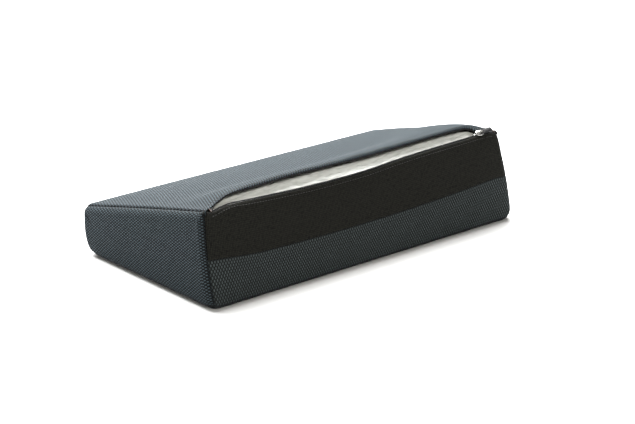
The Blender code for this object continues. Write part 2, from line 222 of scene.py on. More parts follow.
class Shade:
    """A node material under construction."""

    def __init__(self, name: str) -> None:
        """Makes an empty material.

        Args:
            name: the material's name.
        """
        self.material = bpy.data.materials.new(name)
        self.material.use_nodes = True
        self.tree = self.material.node_tree
        self.tree.nodes.clear()

    def node(self, kind: str, settings: dict | None = None, inputs: dict | None = None) -> bpy.types.Node:
        """Adds a node.

        Args:
            kind: the node's type.
            settings: its own settings, which are set first.
            inputs: for each socket's name or number, a value or what is linked to it.

        Returns:
            The node.
        """
        made = self.tree.nodes.new(kind)
        for key, value in (settings or {}).items():
            setattr(made, key, value)
        for key, value in (inputs or {}).items():
            socket = made.inputs[key]
            if isinstance(value, Number):
                self.tree.links.new(value.socket, socket)
            elif isinstance(value, bpy.types.NodeSocket):
                self.tree.links.new(value, socket)
            else:
                socket.default_value = value
        return made

    def place(self) -> bpy.types.NodeSocket:
        """The place on the object, in metres."""
        return self.node("ShaderNodeTexCoord").outputs["Object"]

    def cloth_axes(self) -> tuple[Number, Number, bpy.types.NodeSocket]:
        """Millimetres along and across the cloth, and both as one vector.

        Returns:
            The two numbers, and the vector.
        """
        uv = self.node("ShaderNodeTexCoord").outputs["UV"]
        split = self.node("ShaderNodeSeparateXYZ", None, {0: uv})
        return Number(self, split.outputs[0]), Number(self, split.outputs[1]), uv

    def attribute(self, name: str) -> Number:
        """A number that the mesh holds at each point."""
        made = self.node("ShaderNodeAttribute", {"attribute_name": name})
        return Number(self, made.outputs["Fac"])

    def noise(self, vector: bpy.types.NodeSocket, scale: float, detail: float = 2.0) -> Number:
        """Cloudy noise from 0 to 1."""
        inputs = {"Vector": vector, "Scale": scale, "Detail": detail}
        return Number(self, self.node("ShaderNodeTexNoise", None, inputs).outputs["Fac"])

    def blend(self, share: Number, low: object, high: object) -> bpy.types.NodeSocket:
        """The colour low where the share is 0, and high where it is 1.

        Args:
            share: the share, from 0 to 1.
            low: a colour, or a socket that gives one.
            high: another.

        Returns:
            The socket of the mixed colour.
        """
        settings = {"data_type": "RGBA"}
        ends = {6: low, 7: high}
        inputs = {0: share}
        for key, colour in ends.items():
            inputs[key] = (*colour, 1) if isinstance(colour, tuple) else colour
        return self.node("ShaderNodeMix", settings, inputs).outputs[2]

    def bump(self, height: Number, distance: float, strength: float = 1.0) -> bpy.types.NodeSocket:
        """A normal from a height, whose step from 0 to 1 is that distance in metres."""
        inputs = {"Height": height, "Distance": distance, "Strength": strength}
        return self.node("ShaderNodeBump", None, inputs).outputs["Normal"]

    def surface(self, **inputs: object) -> bpy.types.Material:
        """Ends the material with its shader.

        Args:
            inputs: the shader's sockets, with _ for a space.

        Returns:
            The material.
        """
        named = {key.replace("_", " "): value for key, value in inputs.items()}
        shader = self.node("ShaderNodeBsdfPrincipled", None, named)
        self.node("ShaderNodeOutputMaterial", None, {"Surface": shader.outputs[0]})
        return self.material


@dataclass(frozen=True)
class SpacerMesh:
    """The cover's cloth: a knitted mesh of pale diamonds with a dark opening between them."""

    name: str
    thread: Colour = (0.0325, 0.0485, 0.0585)
    ground: Colour = (0.0003, 0.0004, 0.0005)
    wide: float = 3.0  # millimetres from one diamond to the next, along the cloth
    tall: float = 5.5  # and across it
    relief: float = 0.45 * MM
    sheen: float = 0.028

    def build(self) -> bpy.types.Material:
        """The material.

        Returns:
            The finished material.
        """
        shade = Shade(self.name)
        along, across, uv = shade.cloth_axes()
        stray = shade.noise(uv, 0.11) - 0.5
        turn = 2 * HALF_TURN
        u = (along + stray * 0.8) * (turn / self.wide)
        v = (across + stray * 1.1) * (turn / self.tall)
        lattice = u.cosine() * v.cosine()
        diamond = lattice.between(-0.02, 0.46)
        filament = ((along + across) * (turn / 0.62)).cosine() * 0.5 + 0.5
        yarn = diamond * (filament * 0.22 + 0.78)
        cloud = shade.noise(shade.place(), 38.0) * 0.26 + 0.87
        # painted shade: the cloth is darkened beside its seams, where the grooves lie in shade
        sunk = shade.attribute("seam")
        lit = yarn * cloud * (1 - sunk * 0.72)
        colour = shade.blend(lit, self.ground, self.thread)
        height = diamond * 0.85 + filament * diamond * 0.15
        return shade.surface(
            Base_Color=colour,
            Roughness=0.86 - diamond * 0.12,
            Normal=shade.bump(height, self.relief, 0.8),
            Sheen_Weight=self.sheen,
            Sheen_Roughness=0.42,
            Sheen_Tint=(0.46, 0.78, 1.0, 1),
            Specular_IOR_Level=0.17,
        )


@dataclass(frozen=True)
class PlainWeave:
    """A close plain cloth of threads that pass over and under each other."""

    name: str
    thread: Colour
    ground: Colour
    pitch: float = 1.1  # millimetres from one thread to the next
    relief: float = 0.16 * MM
    roughness: float = 0.9
    sheen: float = 0.01

    def build(self) -> bpy.types.Material:
        """The material.

        Returns:
            The finished material.
        """
        shade = Shade(self.name)
        along, across, uv = shade.cloth_axes()
        stray = shade.noise(uv, 0.35) * 0.7
        turn = HALF_TURN / self.pitch
        over = ((along + stray) * turn).cosine() * ((across + stray) * turn).cosine()
        thread = over.size().between(0.02, 0.6)
        slub = shade.noise(uv, 0.42, 3.0) * 4.6 - 1.3
        # painted shade: the cloth is darkened beside its seams, where the grooves lie in shade
        sunk = shade.attribute("seam")
        lit = thread * slub * (1 - sunk * 0.6)
        colour = shade.blend(lit, self.ground, self.thread)
        return shade.surface(
            Base_Color=colour,
            Roughness=self.roughness,
            Normal=shade.bump(over * 0.5 + slub * 0.5, self.relief, 0.9),
            Sheen_Weight=self.sheen,
            Sheen_Roughness=0.5,
            Specular_IOR_Level=0.12,
        )


@dataclass(frozen=True)
class Grained:
    """A solid finish with cloudy colour and a fine grain: nylon, enamel, nickel, thread or foam."""

    name: str
    colour: Colour
    worn: Colour
    grain: float  # how many grains lie along a metre
    relief: float
    roughness: tuple[float, float]
    metallic: float = 0.0
    wear: tuple[float, float] = (0.45, 0.75)  # the cloud's values between which the wear sets in
    specular: float = 0.5

    def build(self) -> bpy.types.Material:
        """The material.

        Returns:
            The finished material.
        """
        shade = Shade(self.name)
        place = shade.place()
        cloud = shade.noise(place, self.grain * 0.12, 4.0).between(*self.wear)
        grain = shade.noise(place, self.grain, 3.0)
        low, high = self.roughness
        return shade.surface(
            Base_Color=shade.blend(cloud, self.colour, self.worn),
            Roughness=grain * (high - low) + low,
            Metallic=self.metallic,
            Normal=shade.bump(grain, self.relief, 0.7),
            Specular_IOR_Level=self.specular,
        )


@dataclass(frozen=True)
class CreasedCotton:
    """The liner's pale cloth, with a fine weave and slanting creases, and painted shade along the creases."""

    name: str
    pale: Colour = (0.50, 0.51, 0.49)
    # the darker colour: painted shade along the creases, and the fibres' random tone
    crease_shade_and_fibre: Colour = (0.28, 0.285, 0.27)

    def build(self) -> bpy.types.Material:
        """The material.

        Returns:
            The finished material.
        """
        shade = Shade(self.name)
        place = shade.place()
        slant = {"Location": (0, 0, 0), "Rotation": (0.5, 0.35, 0.62), "Scale": (30, 170, 150)}
        turned = {"Vector": place, **slant}
        creased = shade.node("ShaderNodeMapping", None, turned).outputs[0]
        crease = shade.noise(creased, 1.0, 3.0)
        # painted shade: the cloth is darkened along the bottoms of its creases, where they lie in shade; the
        # fibre noise adds a random tone
        fold = 1 - (crease - 0.5).size().between(0.0, 0.07)
        fibre = shade.noise(place, 2600.0, 2.0)
        colour = shade.blend(fold * 0.35 + fibre * 0.12, self.pale, self.crease_shade_and_fibre)
        height = crease * 0.8 - fold * 0.35 + fibre * 0.03
        return shade.surface(
            Base_Color=colour,
            Roughness=0.93,
            Normal=shade.bump(height, 0.9 * MM, 0.7),
            Sheen_Weight=0.1,
            Specular_IOR_Level=0.15,
        )


# ---------------------------------------------------------------- meshes


def piece_of(
    name: str,
    shape: bmesh.types.BMesh | bpy.types.Mesh,
    material: bpy.types.Material,
    outward: bool = True,
) -> bpy.types.Object:
    """A piece at the origin.

    Args:
        name: its name.
        shape: its mesh, whose places are the object's own.
        material: its finish.
        outward: whether its faces are turned outwards here.

    Returns:
        The piece, shaded smooth.
    """
    if isinstance(shape, bmesh.types.BMesh):
        mesh = bpy.data.meshes.new(name)
        if outward:
            bmesh.ops.recalc_face_normals(shape, faces=shape.faces[:])
        shape.to_mesh(mesh)
        shape.free()
    else:
        mesh = shape
        mesh.name = name
    mesh.shade_smooth()
    made = bpy.data.objects.new(name, mesh)
    mesh.materials.clear()
    mesh.materials.append(material)
    bpy.context.scene.collection.objects.link(made)
    return made


def wall(made: bpy.types.Object, thickness: float) -> None:
    """Gives a skin its thickness, inwards, and rounds it off.

    Args:
        made: the skin.
        thickness: its thickness, in metres.
    """
    step = made.modifiers.new("wall", "SOLIDIFY")
    step.thickness = thickness
    step.offset = -1
    step.use_even_offset = False
    step = made.modifiers.new("round", "SUBSURF")
    step.levels = 1
    step.render_levels = 1


def cut(bm: bmesh.types.BMesh, point: Vector, normal: Vector) -> None:
    """Cuts all faces along a plane."""
    everything = bm.verts[:] + bm.edges[:] + bm.faces[:]
    bmesh.ops.bisect_plane(bm, geom=everything, dist=MERGE, plane_co=point, plane_no=normal)


def moved_vertices(geometry: Iterable[object]) -> list[bmesh.types.BMVert]:
    """The vertices among an operator's results."""
    return [item for item in geometry if isinstance(item, bmesh.types.BMVert)]


def rounded(bm: bmesh.types.BMesh, edges: list, width: float, segments: int = 2) -> None:
    """Rounds edges.

    Args:
        bm: the mesh, which is changed.
        edges: the edges.
        width: the rounding's width, in metres.
        segments: how many facets it has.
    """
    bmesh.ops.bevel(
        bm,
        geom=edges,
        offset=width,
        segments=segments,
        profile=0.5,
        affect="EDGES",
        material=-1,
        clamp_overlap=True,
    )


def sharp_edges(bm: bmesh.types.BMesh, least: float = 0.6) -> list[bmesh.types.BMEdge]:
    """The edges where two faces meet at more than an angle, in radians."""
    return [e for e in bm.edges if len(e.link_faces) == 2 and e.calc_face_angle(0) > least]


def plate(
    outline: Sequence[tuple[float, float]], low: float, high: float, rounding: float
) -> bmesh.types.BMesh:
    """A flat plate with rounded rims.

    Args:
        outline: its corners in x and y, in order.
        low: the height of its underside.
        high: the height of its upper side.
        rounding: the radius of its rims.

    Returns:
        The plate.
    """
    bm = bmesh.new()
    face = bm.faces.new([bm.verts.new((x, y, low)) for x, y in outline])
    grown = bmesh.ops.extrude_face_region(bm, geom=[face])
    bmesh.ops.translate(bm, vec=(0, 0, high - low), verts=moved_vertices(grown["geom"]))
    bmesh.ops.recalc_face_normals(bm, faces=bm.faces[:])
    rounded(bm, sharp_edges(bm), rounding)
    return bm


def box(low: Sequence[float], high: Sequence[float], rounding: float) -> bmesh.types.BMesh:
    """A box between two corners, with rounded edges.

    Args:
        low: its lowest corner.
        high: its highest corner.
        rounding: the rims' radius, in metres.

    Returns:
        The box.
    """
    bm = bmesh.new()
    bmesh.ops.create_cube(bm, size=1)
    size = [h - l for l, h in zip(low, high)]
    middle = [(h + l) / 2 for l, h in zip(low, high)]
    bmesh.ops.scale(bm, vec=size, verts=bm.verts)
    bmesh.ops.translate(bm, vec=middle, verts=bm.verts)
    rounded(bm, bm.edges[:], rounding)
    return bm


def swept(points: Sequence[Vector], radius: float) -> bpy.types.Mesh:
    """A round thread along a line of points.

    Args:
        points: the line, in metres.
        radius: the thread's radius, in metres.

    Returns:
        The thread's mesh.
    """
    curve = bpy.data.curves.new("thread", "CURVE")
    curve.dimensions = "3D"
    curve.bevel_depth = radius
    curve.bevel_resolution = 1
    curve.use_fill_caps = True
    line = curve.splines.new("POLY")
    line.points.add(len(points) - 1)
    for knot, point in zip(line.points, points):
        knot.co = (*point, 1)
    holder = bpy.data.objects.new("thread", curve)
    mesh = bpy.data.meshes.new_from_object(holder)
    bpy.data.objects.remove(holder)
    return mesh


def joined(parts: Iterable[bmesh.types.BMesh]) -> bmesh.types.BMesh:
    """Several shapes as one.

    Args:
        parts: the shapes, which are freed.

    Returns:
        One mesh that holds them all.
    """
    whole = bmesh.new()
    for part in parts:
        mesh = bpy.data.meshes.new("part")
        part.to_mesh(mesh)
        part.free()
        whole.from_mesh(mesh)
        bpy.data.meshes.remove(mesh)
    return whole


# ---------------------------------------------------------------- the wedge


@dataclass(frozen=True)
class Wedge:
    """The cushion's rounded wedge, and the section that the zip and the seams are drawn on.

    A section point is (down, over): how far it lies down the sloping top from the sharp rear edge, and
    how far above the top's plane. The rim is the way over the rounded rear edge, measured from its
    middle, positive towards the top and negative down the rear face.
    """

    length: float = 400 * MM
    top_depth: float = 201 * MM
    rear_height: float = 96.5 * MM
    front_height: float = 49.8 * MM
    end_lean: float = 6 * MM
    radius: float = 9 * MM
    rear_lift: float = 4.2 * MM
    crown: float = 4 * MM
    belly: float = 2.6 * MM  # how far the ends bulge at half their height
    band_lift: float = 3 * MM  # how much higher the band's seam lies at the left end
    crown_reach: float = 1.1  # the swell starts this much sooner than the depth alone gives
    crown_lost: float = 0.25  # the share of the swell that is gone at the zip's closed end
    soft_height: float = 0.55  # the share of the height over which the swell and the lift come in
    belly_reach: float = 32 * MM
    droop: float = 4 * MM  # how far the rear top corner sinks at the zip's closed end
    droop_from: float = 0.88  # where it starts to, as a share of the way to that end
    end_seam: float = 4 * MM
    bottom_seam: float = 3.6 * MM
    band_height: float = 45 * MM
    band_dip: float = 6 * MM
    cell: float = 6 * MM  # the size of the draft's meshes

    @cached_property
    def slope(self) -> float:
        """The top's slope."""
        return math.atan2(self.rear_height - self.front_height, self.top_depth)

    @cached_property
    def down(self) -> Vector:
        """Down the sloping top, which is also out of the front face."""
        return Vector((0, math.cos(self.slope), -math.sin(self.slope)))

    @cached_property
    def up(self) -> Vector:
        """Out of the top."""
        return Vector((0, math.sin(self.slope), math.cos(self.slope)))

    @cached_property
    def out(self) -> Vector:
        """Out of the rounded rear edge."""
        return (self.up - self.down).normalized()

    @cached_property
    def across(self) -> Vector:
        """Across the zip, towards the top."""
        return (self.up + self.down).normalized()

    @cached_property
    def rear_bottom(self) -> Vector:
        """The sharp rear bottom edge's middle.

        Returns:
            The point, with the wedge centred on the origin.
        """
        cos, sin = math.cos(self.slope), math.sin(self.slope)
        rear_cut = self.radius * (1 - cos / (1 + sin))
        front_cut = self.radius * (sin + cos - 1)
        depth = self.rear_height * sin + self.top_depth * cos - rear_cut - front_cut
        return Vector((0, -depth / 2 - rear_cut, 0))

    @cached_property
    def rear_top(self) -> Vector:
        """The sharp rear top edge's middle."""
        return self.rear_bottom + self.rear_height * self.up

    @cached_property
    def front_top(self) -> Vector:
        """The sharp front top edge's middle."""
        return self.rear_top + self.top_depth * self.down

    @cached_property
    def lean(self) -> float:
        """How far each end leans in, as an angle."""
        return math.atan2(self.end_lean, self.rear_top.z)

    @cached_property
    def quarter(self) -> float:
        """From the middle of the rounded rear edge to where the flat top starts."""
        return self.radius * QUARTER_TURN / 2

    def end_normal(self, sign: int) -> Vector:
        """Out of the left end for -1, or the right end for 1."""
        return Vector((sign * math.cos(self.lean), 0, math.sin(self.lean)))

    def from_end(self, point: Vector, sign: int) -> float:
        """How far a point lies in from an end's plane."""
        return -self.end_normal(sign).dot(point - Vector((sign * self.length / 2, 0, 0)))

    def section(self, point: Vector) -> tuple[float, float]:
        """A point's (down, over)."""
        offset = point - self.rear_top
        return offset.dot(self.down), offset.dot(self.up)

    def at(self, x: float, down: float, over: float) -> Vector:
        """The point at a place along the cushion and on its section."""
        return self.rear_top + Vector((x, 0, 0)) + down * self.down + over * self.up

    def rim(self, along: float) -> tuple[float, float]:
        """The section point at a distance along the rim.

        Args:
            along: the distance along the rim, in metres.

        Returns:
            The section point, as (down, over).
        """
        turn = max(0.0, min(QUARTER_TURN, QUARTER_TURN / 2 - along / self.radius))
        down = self.radius * (1 - math.sin(turn)) + max(0.0, along - self.quarter)
        over = self.radius * (math.cos(turn) - 1) - max(0.0, -along - self.quarter)
        return down, over

    def on_rim(self, point: Vector) -> tuple[float, float]:
        """A point's distance along the rim, and its depth below it.

        Args:
            point: a place on the draft, in metres.

        Returns:
            The distance and the depth, in metres.
        """
        down, over = self.section(point)
        if down >= self.radius:
            return self.quarter + down - self.radius, -over
        if over <= -self.radius:
            return -self.quarter - (-self.radius - over), down
        inward = (self.radius - down, over + self.radius)
        turn = math.atan2(*inward)
        return (QUARTER_TURN / 2 - turn) * self.radius, self.radius - math.hypot(*inward)

    def eased(self, point: Vector) -> Vector:
        """The point moved up by the swell of the top and the rise of the rear edge.

        Args:
            point: a place on the draft, in metres.

        Returns:
            The moved point.
        """
        towards_rear = (self.front_top - point).dot(self.down) / self.top_depth
        rear_share = min(1.0, max(0.0, towards_rear * self.crown_reach))
        height_share = min(1.0, max(0.0, point.z / (self.soft_height * self.rear_top.z)))
        along = 2 * point.x / self.length
        fade = along**4 if along < 0 else self.crown_lost * along**8
        swell = self.crown * max(0.0, 1 - fade) * math.sin(HALF_TURN * rear_share)
        sunk = smooth((along - self.droop_from) / (1 - self.droop_from))
        rise = self.rear_lift * (1 + along) / 2 - self.droop * sunk
        lift = height_share * (rear_share**2 * rise + swell)
        return point + Vector((0, 0, lift))

    def bulge(self, point: Vector) -> Vector:
        """How far a point is pushed out by the belly of the nearer end.

        Args:
            point: a place on the draft, in metres.

        Returns:
            The push, sideways only.
        """
        sign = 1 if point.x > 0 else -1
        near = fading(self.from_end(point, sign) / self.belly_reach)
        top = point.z - self.section(point)[1] * math.cos(self.slope)
        height = max(0.0, min(1.0, point.z / top))
        return Vector((sign * self.belly * near * math.sin(HALF_TURN * height), 0, 0))

    def solid(self, depth: float, segments: int) -> bmesh.types.BMesh:
        """The closed wedge at a depth below the cover's surface, with its edges rounded.

        Args:
            depth: how far below the outer face, in metres.
            segments: how many facets it has.

        Returns:
            The closed mesh.
        """
        front = self.down
        sides = {
            (0, 1): (self.end_normal(1), Vector((self.length / 2, 0, 0))),
            (0, -1): (self.end_normal(-1), Vector((-self.length / 2, 0, 0))),
            (1, 1): (front, self.front_top),
            (1, -1): (-front, self.rear_bottom),
            (2, 1): (self.up, self.rear_top),
            (2, -1): (Vector((0, 0, -1)), self.rear_bottom),
        }
        bm = bmesh.new()
        bmesh.ops.create_cube(bm, size=2)
        for vert in bm.verts:
            met = [sides[axis, round(value)] for axis, value in enumerate(vert.co)]
            reach = Vector([normal.dot(point) - depth for normal, point in met])
            vert.co = Matrix([normal for normal, _ in met]).inverted() @ reach
        rounded(bm, bm.edges[:], self.radius - depth, segments)
        return bm

    def draft(self, depth: float, cell: float, segments: int = 12) -> bmesh.types.BMesh:
        """The closed wedge with its faces cut into cells, for a surface that is then shaped.

        Args:
            depth: how far below the outer face, in metres.
            cell: the cells' size, in metres.
            segments: how many facets each rounded edge has.

        Returns:
            The closed mesh.
        """
        bm = self.solid(depth, segments)
        reach = self.length / 2 - self.radius
        count = round(2 * reach / cell)
        for step in range(count + 1):
            cut(bm, Vector((reach * (2 * step / count - 1), 0, 0)), Vector((1, 0, 0)))
        for normal, start, span in (
            (self.down, self.rear_top, self.top_depth),
            (-self.up, self.rear_top, self.rear_height),
        ):
            count = round((span - 2 * self.radius) / cell)
            for step in range(count + 1):
                gone = self.radius + (span - 2 * self.radius) * step / count
                cut(bm, start + gone * normal, normal)
        return bm

    def unrolled(self, first: float, last: float) -> float:
        """How far cloth reaches over a rounded edge, from its distances from the two faces that it joins.

        Args:
            first: the distance from the first face.
            last: the distance from the second.

        Returns:
            The reach, measured from the first face.
        """
        total = first + last
        for distance, start, sign in ((first, 0.0, 1), (last, total, -1)):
            if distance < self.radius:
                turn = math.asin(min(1.0, max(0.0, (self.radius - distance) / self.radius)))
                return start + sign * self.radius * (1 - turn)
        return first

    def cloth_place(self, panel: Panel, point: Vector) -> tuple[float, float]:
        """Where a point of the draft lies on its flat panel, in millimetres.

        Args:
            panel: the panel that the point is on.
            point: a place on the draft, in metres.

        Returns:
            The place along and across the cloth.
        """
        down, over = self.section(point)
        sideways = self.unrolled(self.from_end(point, -1), self.from_end(point, 1))
        depthways = self.unrolled(down, self.top_depth - down)
        upright = self.unrolled(-over, max(0.0, point.z))
        if panel in (Panel.TOP, Panel.BOTTOM):
            return sideways / MM, depthways / MM
        if panel in (Panel.LEFT_END, Panel.RIGHT_END):
            return depthways / MM, upright / MM
        return sideways / MM, upright / MM


@dataclass(frozen=True)
class Mouth:
    """The open zip: where its two lips lie along the cushion.

    A lip's own coordinates are how far behind its fold a point lies, negative beyond the fold, and how
    deep below its outer face.
    """

    wedge: Wedge
    lap: float = 2.9 * MM  # from the closed zip's middle to each fold
    fold_down: float = 8.5 * MM  # where the open upper fold lies down the top
    roll: float = 4.0 * MM  # how far the upper lip's roll reaches down the top
    slack: float = 38 * MM  # how far the lower lip's pull reaches into its panel
    tips: tuple[float, float] = (-188 * MM, 189.5 * MM)
    tip_reach: tuple[float, float] = (4 * MM, 2 * MM)  # how far the panels close up at each tip
    puff: float = 9 * MM  # how far behind the fold the cloth stands highest where the zip is closed
    band_reach: float = 70 * MM  # how far from the left end the band's seam starts to rise
    skin: float = 12 * MM  # deeper than this below the rim, nothing follows the lips
    fold_height: Run = Run(
        ((-180, 0), (-173, 3.2), (-156, 6.6), (-125, 7.2), (-80, 7.6), (-40, 6.9), (20, 5.7),
         (90, 6.2), (135, 6.4), (155, 5.4), (163, 3.4), (169, 0))
    )
    crest: Run = Run(
        ((-182, 0), (-171, 4.0), (-155, 8.0), (-125, 9.8), (-80, 10.4), (-20, 9.2), (90, 9.0),
         (135, 9.2), (156, 8.6), (166, 6.8), (173, 4.4), (180, 1.8), (188, 0))
    )
    ease: Run = Run(((-200, 62), (60, 62), (150, 125), (200, 125)))  # how far that pull reaches
    parting: Run = Run(  # how far the folds have parted, from 0, shut, to 1, written in thousandths
        ((-181, 0), (-173, 640), (-160, 940), (-144, 1000), (150, 1000), (162, 760), (168, 0))
    )
    drop: Run = Run(
        ((-181, 0), (-173, -1.6), (-160, -3.6), (-145, -2.4), (-118, -0.2), (-60, 3.0), (5, 3.8),
         (50, 1.7), (95, 0.5), (148, 0.0), (160, -0.4), (169, 0))
    )

    def closing(self, x: float) -> float:
        """How far the folds close up past the zip's ends, where the panels are sewn together.

        Args:
            x: the place along the zip, in metres.

        Returns:
            The distance by which each fold moves in.
        """
        left, right = self.tips
        first, last = self.tip_reach
        past = max((left + first - x) / first, (x - right + last) / last)
        return self.lap * smooth(past)

    def upper(self, x: float, behind: float) -> tuple[float, float]:
        """The section point of the upper lip's outer face.

        Args:
            x: the place along the zip, in metres.
            behind: how far behind the fold, in metres.

        Returns:
            The section point, as (down, over).
        """
        lap = self.lap - self.closing(x) * fading(behind / self.slack)
        shut_down, shut_over = self.wedge.rim(lap + behind)
        fold = self.fold_height(x)
        crest = self.crest(x)
        rise = max(0.5 * MM, crest - fold)
        arc = QUARTER_TURN * math.hypot(self.roll, rise) / math.sqrt(2)
        if behind < 0:
            down, over = self.fold_down, fold + behind
        elif behind < arc:
            turn = QUARTER_TURN * behind / arc
            down = self.fold_down + self.roll * (1 - math.cos(turn))
            over = fold + rise * math.sin(turn)
        else:
            share = (behind - arc) / self.ease(x)
            flat = self.fold_down + self.roll + behind - arc
            drift = flat - (lap + behind - self.wedge.quarter + self.wedge.radius)
            down = flat - drift * (1 - fading(share))
            over = crest * fading(share)
        share = self.parting(x)
        near = smooth(behind / self.puff) * fading((behind - self.puff) / self.ease(x))
        puff = (1 - share) * crest * near
        return (
            shut_down + share * (down - shut_down),
            shut_over + share * (over - shut_over) + puff,
        )

    def lower(self, x: float, behind: float) -> tuple[float, float]:
        """The section point of the lower lip's outer face.

        Args:
            x: the place along the zip, in metres.
            behind: how far behind the fold, in metres.

        Returns:
            The section point, as (down, over).
        """
        lap = self.lap - self.closing(x) * fading(behind / self.slack)
        slid = self.drop(x) * fading(behind / self.slack)
        return self.wedge.rim(-lap - behind - slid)

    def section(self, side: Side, x: float, behind: float, depth: float) -> tuple[float, float]:
        """The section point on a lip at a depth below its outer face.

        Args:
            side: which side of the zip.
            x: the place along the zip, in metres.
            behind: how far behind the fold, in metres.
            depth: how far below the outer face, in metres.

        Returns:
            The section point, as (down, over).
        """
        curve = self.upper if side is Side.UPPER else self.lower
        near = 0.25 * MM
        d0, o0 = curve(x, behind - near)
        d1, o1 = curve(x, behind + near)
        long = math.hypot(d1 - d0, o1 - o0)
        normal = (side.value * (o0 - o1) / long, side.value * (d1 - d0) / long)
        down, over = curve(x, behind)
        return down - depth * normal[0], over - depth * normal[1]

    def place(self, side: Side, x: float, behind: float, depth: float = 0.0) -> Vector:
        """The point on a lip, with the cushion's own easing.

        Args:
            side: which side of the zip.
            x: the place along the zip, in metres.
            behind: how far behind the fold, in metres.
            depth: how far below the outer face, in metres.

        Returns:
            The point, in metres.
        """
        shut = self.wedge.at(x, *self.wedge.rim(side.value * (self.lap + behind)))
        opened = self.wedge.at(x, *self.section(side, x, behind, depth))
        return opened + self.wedge.eased(shut) - shut

    def shaped(self, point: Vector) -> Vector:
        """Where a point of the closed draft goes when the zip opens.

        Args:
            point: a place on the draft, in metres.

        Returns:
            Where it goes.
        """
        along, depth = self.wedge.on_rim(point)
        wedge = self.wedge
        band = wedge.band_dip * max(0.0, 1 - (2 * point.x / wedge.length) ** 2)
        band -= wedge.band_lift * fading((point.x + wedge.length / 2) / self.band_reach)
        if depth > self.skin:
            return wedge.eased(point) + wedge.bulge(point)
        side = Side.UPPER if along > 0 else Side.LOWER
        made = self.place(side, point.x, abs(along) - self.lap, depth)
        if side is Side.LOWER and point.z > self.wedge.bottom_seam:
            height = self.wedge.band_height
            reach = height if point.z < height else self.wedge.rear_top.z - height
            made -= band * fading(abs(point.z - height) / reach) * self.wedge.up
        return made + wedge.bulge(point)


# ---------------------------------------------------------------- padding


@dataclass(frozen=True)
class Padding:
    """How far the foam inside presses each place of the cover out, found by inflating it as cloth."""

    wedge: Wedge
    voxel: float = 6 * MM
    pressure: float = 4.0
    frames: int = 14
    cap: float = 1.9 * MM
    held: float = 9 * MM  # how near a seam the cloth is held
    inset: float = 1.0 * MM
    cell: float = 14 * MM
    standing: tuple[float, float] = (6 * MM, 16 * MM)  # held up to this height, and less over the next
    neighbours: int = 6
    blur: float = 1.5 * MM

    def _held(self, point: Vector) -> float:
        """How firmly a point is held, from 0 to 1.

        Args:
            point: a place on the draft, in metres.

        Returns:
            1 where the cloth is sewn or stands on the floor, and 0 in the middle of a panel.
        """
        down, over = self.wedge.section(point)
        distances = [
            self.wedge.from_end(point, -1),
            self.wedge.from_end(point, 1),
            math.hypot(down, over),
            math.hypot(self.wedge.top_depth - down, over),
        ]
        low = fading((point.z - self.standing[0]) / self.standing[1])
        return max(low, fading(min(distances) / (2 * self.held)))

    def swell(self) -> Callable[[Vector], float]:
        """Inflates a closed copy of the cover.

        Returns:
            A function from a place on the cover to how far the cloth stands out there.
        """
        bm = self.wedge.draft(self.inset, self.cell, 4)
        for vert in bm.verts:
            vert.co = self.wedge.eased(vert.co)
        made = piece_of("inflated", bm, bpy.data.materials.new("plain"))
        made.data.remesh_voxel_size = self.voxel
        step = made.modifiers.new("even", "REMESH")
        step.mode = "VOXEL"
        step.voxel_size = self.voxel
        bpy.context.view_layer.update()
        graph = bpy.context.evaluated_depsgraph_get()
        even = bpy.data.meshes.new_from_object(made.evaluated_get(graph))
        made.modifiers.clear()
        made.data = even
        group = made.vertex_groups.new(name="held")
        for vert in even.vertices:
            group.add([vert.index], self._held(vert.co), "REPLACE")
        cloth = made.modifiers.new("cloth", "CLOTH")
        settings = cloth.settings
        settings.use_pressure = True
        settings.uniform_pressure_force = self.pressure
        settings.vertex_group_mass = "held"
        settings.quality = 4
        settings.effector_weights.gravity = 0
        cloth.point_cache.frame_end = self.frames
        scene = bpy.context.scene
        for frame in range(1, self.frames + 1):
            scene.frame_set(frame)
        graph = bpy.context.evaluated_depsgraph_get()
        blown = made.evaluated_get(graph).to_mesh()
        tree = KDTree(len(even.vertices))
        rises = []
        for before, after in zip(even.vertices, blown.vertices):
            tree.insert(before.co, before.index)
            rise = (after.co - before.co).dot(before.normal)
            rises.append(self.cap * math.tanh(rise / self.cap))
        tree.balance()
        LOG.info("padding: %d points, %.2f mm at most", len(rises), max(rises) / MM)
        bpy.data.objects.remove(made)
        scene.frame_set(1)

        def sample(point: Vector) -> float:
            """The rise near a point, weighted by nearness.

            Args:
                point: a place on the draft, in metres.

            Returns:
                The rise, in metres.
            """
            near = tree.find_n(point, self.neighbours)
            weights = [1 / (distance + self.blur) ** 2 for _, _, distance in near]
            return sum(w * rises[i] for w, (_, i, _) in zip(weights, near)) / sum(weights)

        return sample


# ---------------------------------------------------------------- the cover


